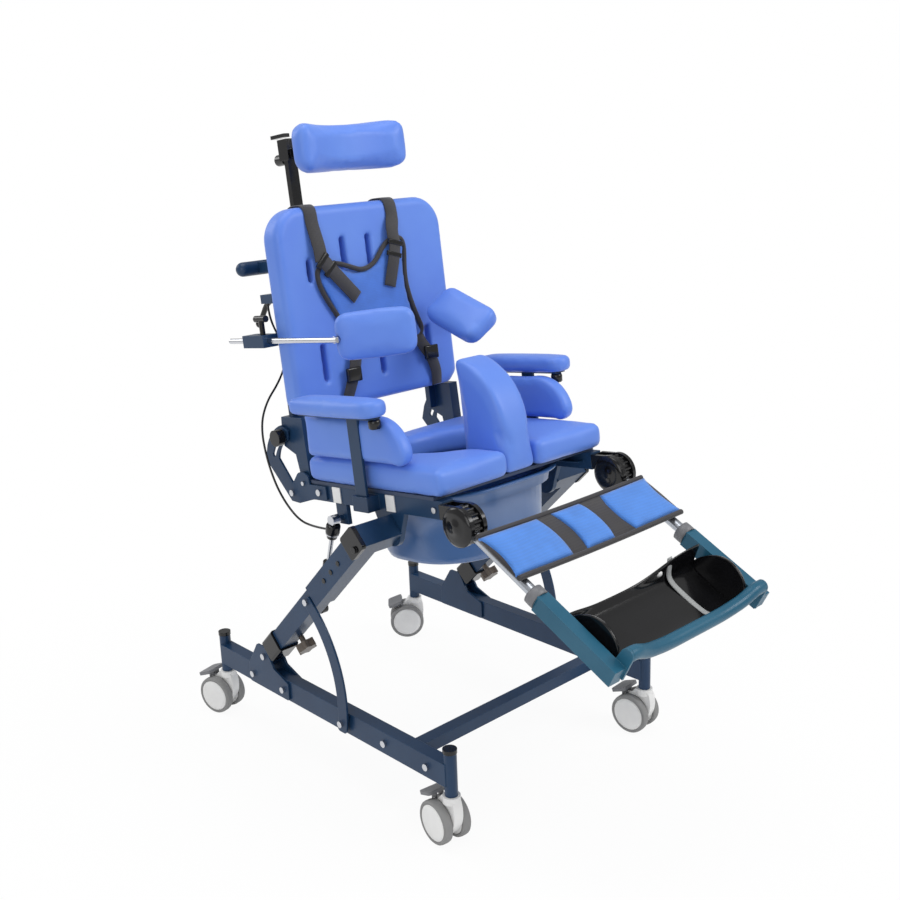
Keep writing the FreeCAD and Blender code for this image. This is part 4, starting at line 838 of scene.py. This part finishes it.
class CHAIR_OT_foot_tray(bpy.types.Operator):
    """Makes the moulded foot tray with its wavy rear edge"""

    bl_idname = "chair.foot_tray"
    bl_label = "Foot tray"

    half_wide = 158
    columns = 40

    def rim(self, x):
        """Height of the rear edge: low across the middle and swept up towards the sitter's left."""
        rise = 1 / (1 + math.exp(-(x - 62) / 22))
        return -16 + 40 * rise + 8 * math.exp(-((x + 150) / 40) ** 2)

    def execute(self, context):
        place = rest_frame()
        rows = []
        for i in range(self.columns + 1):
            x = -self.half_wide + 2 * self.half_wide * i / self.columns
            top = self.rim(x)
            rows.append([(x, -320, -16), (x, -316, -24), (x, -306, -28), (x, -270, -29), (x, -236, -29),
                         (x, -224, -27), (x, -217, -20), (x, -214, (top - 20) / 2), (x, -212, top)])
        count = len(rows[0])
        spots = [p for row in rows for p in row]
        faces = [
            (i * count + j, (i + 1) * count + j, (i + 1) * count + j + 1, i * count + j + 1)
            for i in range(self.columns) for j in range(count - 1)
        ]
        mesh = mesh_of("tray_trough", spots, faces, place)
        trough = show("tray_trough", mesh, "gloss_abs_black", "foot_flap")
        self.thicken(trough)
        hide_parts("foot_tray")
        for side, way in (("right", -1), ("left", 1)):
            self.end_wall(f"tray_end_{side}", way * (self.half_wide + 1), place)
        heel_line = [(84, -209, 14), (85, -214, 2), (86, -226, -20), (88, -260, -26), (90, -300, -26),
                     (91, -317, -18)]
        ribbon("heel_strap", heel_line, (1, 0, 0), 12, 2.4, place, "woven_strap_grey", "foot_flap")
        bolt = place @ Vector((62, -216, -8))
        turned("tray_bolt", [(0, 4), (3.5, 3.4), (5.5, 1.6), (6, 0), (0, 0)], bolt,
               place.to_3x3() @ Vector((0, -1, 0)), "nylon_white", "foot_flap", 24)
        return {"FINISHED"}

    def thicken(self, piece):
        wall = piece.modifiers.new("Wall", "SOLIDIFY")
        wall.thickness = sizes().tray_wall
        wall.offset = 0
        round_off = piece.modifiers.new("Round", "SUBSURF")
        round_off.levels = 1
        round_off.render_levels = 1
        mesh = settled(piece)
        mesh.polygons.foreach_set("use_smooth", [True] * len(mesh.polygons))

    def end_wall(self, name, x, place):
        edge = [(-318, -26), (-320, -2), (-312, 17), (-292, 30), (-268, 33), (-246, 24), (-226, 4),
                (-214, -20), (-226, -30), (-270, -31), (-308, -30)]
        line = flowing([(x, y, z) for y, z in edge], 6, True)
        middle = Vector((x, -266, -2))
        rings = [
            [(p.x + out, middle.y + (p.y - middle.y) * size, middle.z + (p.z - middle.z) * size)
             for p in line]
            for out, size in ((-2, 0.93), (-2.4, 0.98), (0, 1), (2.4, 0.98), (2, 0.93))
        ]
        show(name, mesh_of(name, *loft(rings), place), "gloss_abs_black", "foot_flap")


class CHAIR_OT_castors(bpy.types.Operator):
    """Makes the castor wheels and gives the castor bodies and pedals their finishes"""

    bl_idname = "chair.castors"
    bl_label = "Castors"

    wheel_offset = 18
    tread = (
        (31, -7.6), (35, -8.3), (36.9, -6.6), (37.5, -3.5), (37.5, 3.5), (36.9, 6.6), (35, 8.3), (31, 7.6),
    )
    disc = ((0, 7.4), (8, 7.6), (24, 8.6), (29, 8.5), (31.2, 7), (31.2, -7.6), (0, -7.6))
    pin = ((0, -14), (4, -14), (4, 14), (0, 14))

    def execute(self, context):
        for corner in ("front_right", "rear_right", "front_left", "rear_left"):
            dress("nylon_white", "caster_housing_" + corner)
            dress("nylon_pedal_grey", "brake_pedal_" + corner)
            roll = JOINTS["roll_" + corner]
            hub, axle, body = Vector(roll["pos_m"]), Vector(roll["axis"]), "wheels_" + corner
            for side, way in (("outer", 1), ("inner", -1)):
                middle = hub + axle * way * self.wheel_offset * MM
                turned(f"tyre_{side}_{corner}", self.tread + self.tread[:1], middle, axle * way,
                                    "rubber_tyre_grey", body)
                turned(f"wheel_disc_{side}_{corner}", self.disc, middle, axle * way, "nylon_white", body)
            turned(f"axle_{corner}", self.pin, hub, axle, "chrome_plate", body, 24)
            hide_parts("caster_wheels_" + corner)
        return {"FINISHED"}


class CHAIR_OT_hubs(bpy.types.Operator):
    """Makes the domed covers and the ribbed ratchet rings of the legrest joints"""

    bl_idname = "chair.hubs"
    bl_label = "Legrest joint covers"

    face_offset = 17
    ribs = 16
    ring_steps = 144

    def execute(self, context):
        hub = Vector(JOINTS["legrest_angle"]["pos_m"])
        for side, way in (("right", -1), ("left", 1)):
            for face, out in (("outer", way), ("inner", -way)):
                middle = hub + Vector((way * LEG_TUBE_X + out * self.face_offset, 0, 0)) * MM
                dome = [(0, 7), (7, 7), (9, 5.5), (20, 5), (28, 3.6), (32, 1), (33, -1), (0, -1)]
                turned(f"hub_dome_{side}_{face}", dome, middle, (out, 0, 0), "gloss_abs_black", "seat")
            self.ratchet(f"hub_ratchet_{side}", hub + Vector((way * LEG_TUBE_X, 0, 0)) * MM)
        return {"FINISHED"}

    def ratchet(self, name, hub):
        """A ring with rounded ribs that turns with the legrest tube."""
        rings = []
        for i in range(self.ring_steps):
            turn = 2 * math.pi * i / self.ring_steps
            rib = 28.4 + 3.2 * max(0, math.cos(turn * self.ribs)) ** 0.6
            rings.append([
                hub + Vector((out, r * math.cos(turn), r * math.sin(turn))) * MM
                for out, r in ((-7.8, 27), (-7.8, rib), (7.8, rib), (7.8, 27))
            ])
        spots, faces = loft(rings + [rings[0]], False)
        show(name, mesh_of(name, spots, faces), "gloss_abs_black", "legrest", False)


class CHAIR_OT_fittings(bpy.types.Operator):
    """Makes the release head's cover, the arm knobs, the legrest collars and the side pad's bolt"""

    bl_idname = "chair.fittings"
    bl_label = "Small fittings"

    release_reach = 0.1675
    side_pad_turn = -38
    side_pad_middle = (-147, -198, 261)

    def execute(self, context):
        foot = Vector(JOINTS["gas_swing"]["pos_m"])
        along = Vector(JOINTS["gas_stroke"]["axis"])
        cover = [(0, -17), (8.6, -17), (9.4, -15), (9.4, -10), (12.2, -7), (12.9, -4), (12.9, 8), (12, 10),
                 (0, 10)]
        turned("release_cover", cover, foot + along * self.release_reach, along, "gloss_abs_black",
               "gas_shaft", 32)
        place = seat_frame()
        knob = [(0, -9), (8, -9), (10.2, -7), (10.6, 3), (9, 7.5), (0, 7.5)]
        rest = rest_frame()
        collar = [(15, -9), (16.9, -8), (17.2, 0), (16.9, 8), (15, 9), (15, -9)]
        for side, way in (("right", -1), ("left", 1)):
            turned(f"arm_knob_{side}", knob, place @ Vector((way * 218, -24, 187)),
                   place.to_3x3() @ Vector((0, 0, 1)), "gloss_abs_black", "arm_" + side, 32)
            turned(f"foot_collar_{side}", collar, rest @ Vector((way * LEG_TUBE_X, -168, -2)),
                   rest.to_3x3() @ Vector((0, 1, 0)), "nylon_pedal_grey", "foot_slide", 40)
        self.pad_bolt(back_frame())
        return {"FINISHED"}

    def pad_bolt(self, place):
        turn = math.radians(self.side_pad_turn)
        out = Vector((math.sin(turn), -math.cos(turn), 0))
        side = Vector((math.cos(turn), math.sin(turn), 0))
        spot = Vector(self.side_pad_middle) + out * 18 - side * 20
        head = [(0, 1.2), (3, 1), (5, 0.2), (5.4, -3), (0, -3)]
        turned("side_pad_bolt", head, place @ spot, place.to_3x3() @ out, "gloss_abs_black", "lateral_right",
               24)


class CHAIR_OT_cable(bpy.types.Operator):
    """Makes the release cable from the lever to the gas spring"""

    bl_idname = "chair.cable"
    bl_label = "Release cable"

    route = (
        (-174, 197.5, 826.7), (-172, 200, 800), (-142, 212, 752), (-132, 214, 712), (-152, 214, 676),
        (-190, 205, 645), (-212, 195, 605), (-214, 180, 545), (-214, 150, 490), (-214, 100, 452),
        (-213, 56, 446), (-210, 16.2, 450),
    )
    base_shift = 120

    def execute(self, context):
        spots = [(x * MM, (y + self.base_shift) * MM, z * MM) for x, y, z in self.route]
        cable = bent_rod("release_wire", spots, sizes().cable / MM / 2, None, "gloss_abs_black", "back")
        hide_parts("release_cable")
        return {"FINISHED"}


OPERATORS = (
    CHAIR_OT_stage, CHAIR_OT_cable, CHAIR_OT_frame, CHAIR_OT_pads, CHAIR_OT_harness, CHAIR_OT_pan,
    CHAIR_OT_calf_strap, CHAIR_OT_foot_tray, CHAIR_OT_castors, CHAIR_OT_hubs, CHAIR_OT_fittings,
)


class CHAIR_PT_panel(bpy.types.Panel):
    """Lists the chair's sizes, colours and pieces"""

    bl_idname = "CHAIR_PT_panel"
    bl_label = "Shower commode chair"
    bl_space_type = "VIEW_3D"
    bl_region_type = "UI"
    bl_category = "Chair"

    def draw(self, context):
        for group in (context.scene.chair_sizes, context.scene.chair_colours):
            for name in group.__annotations__:
                self.layout.prop(group, name)
        for operator in OPERATORS:
            self.layout.operator(operator.bl_idname)


CLASSES = (ChairSizes, ChairColours, *OPERATORS, CHAIR_PT_panel)


def register():
    for cls in CLASSES:
        bpy.utils.register_class(cls)
    bpy.types.Scene.chair_sizes = bpy.props.PointerProperty(type=ChairSizes)
    bpy.types.Scene.chair_colours = bpy.props.PointerProperty(type=ChairColours)


def unregister():
    del bpy.types.Scene.chair_colours
    del bpy.types.Scene.chair_sizes
    for cls in reversed(CLASSES):
        bpy.utils.unregister_class(cls)


def main():
    register()
    for operator in OPERATORS:
        group, name = operator.bl_idname.split(".")
        getattr(getattr(bpy.ops, group), name)()


if __name__ == "__main__":
    main()
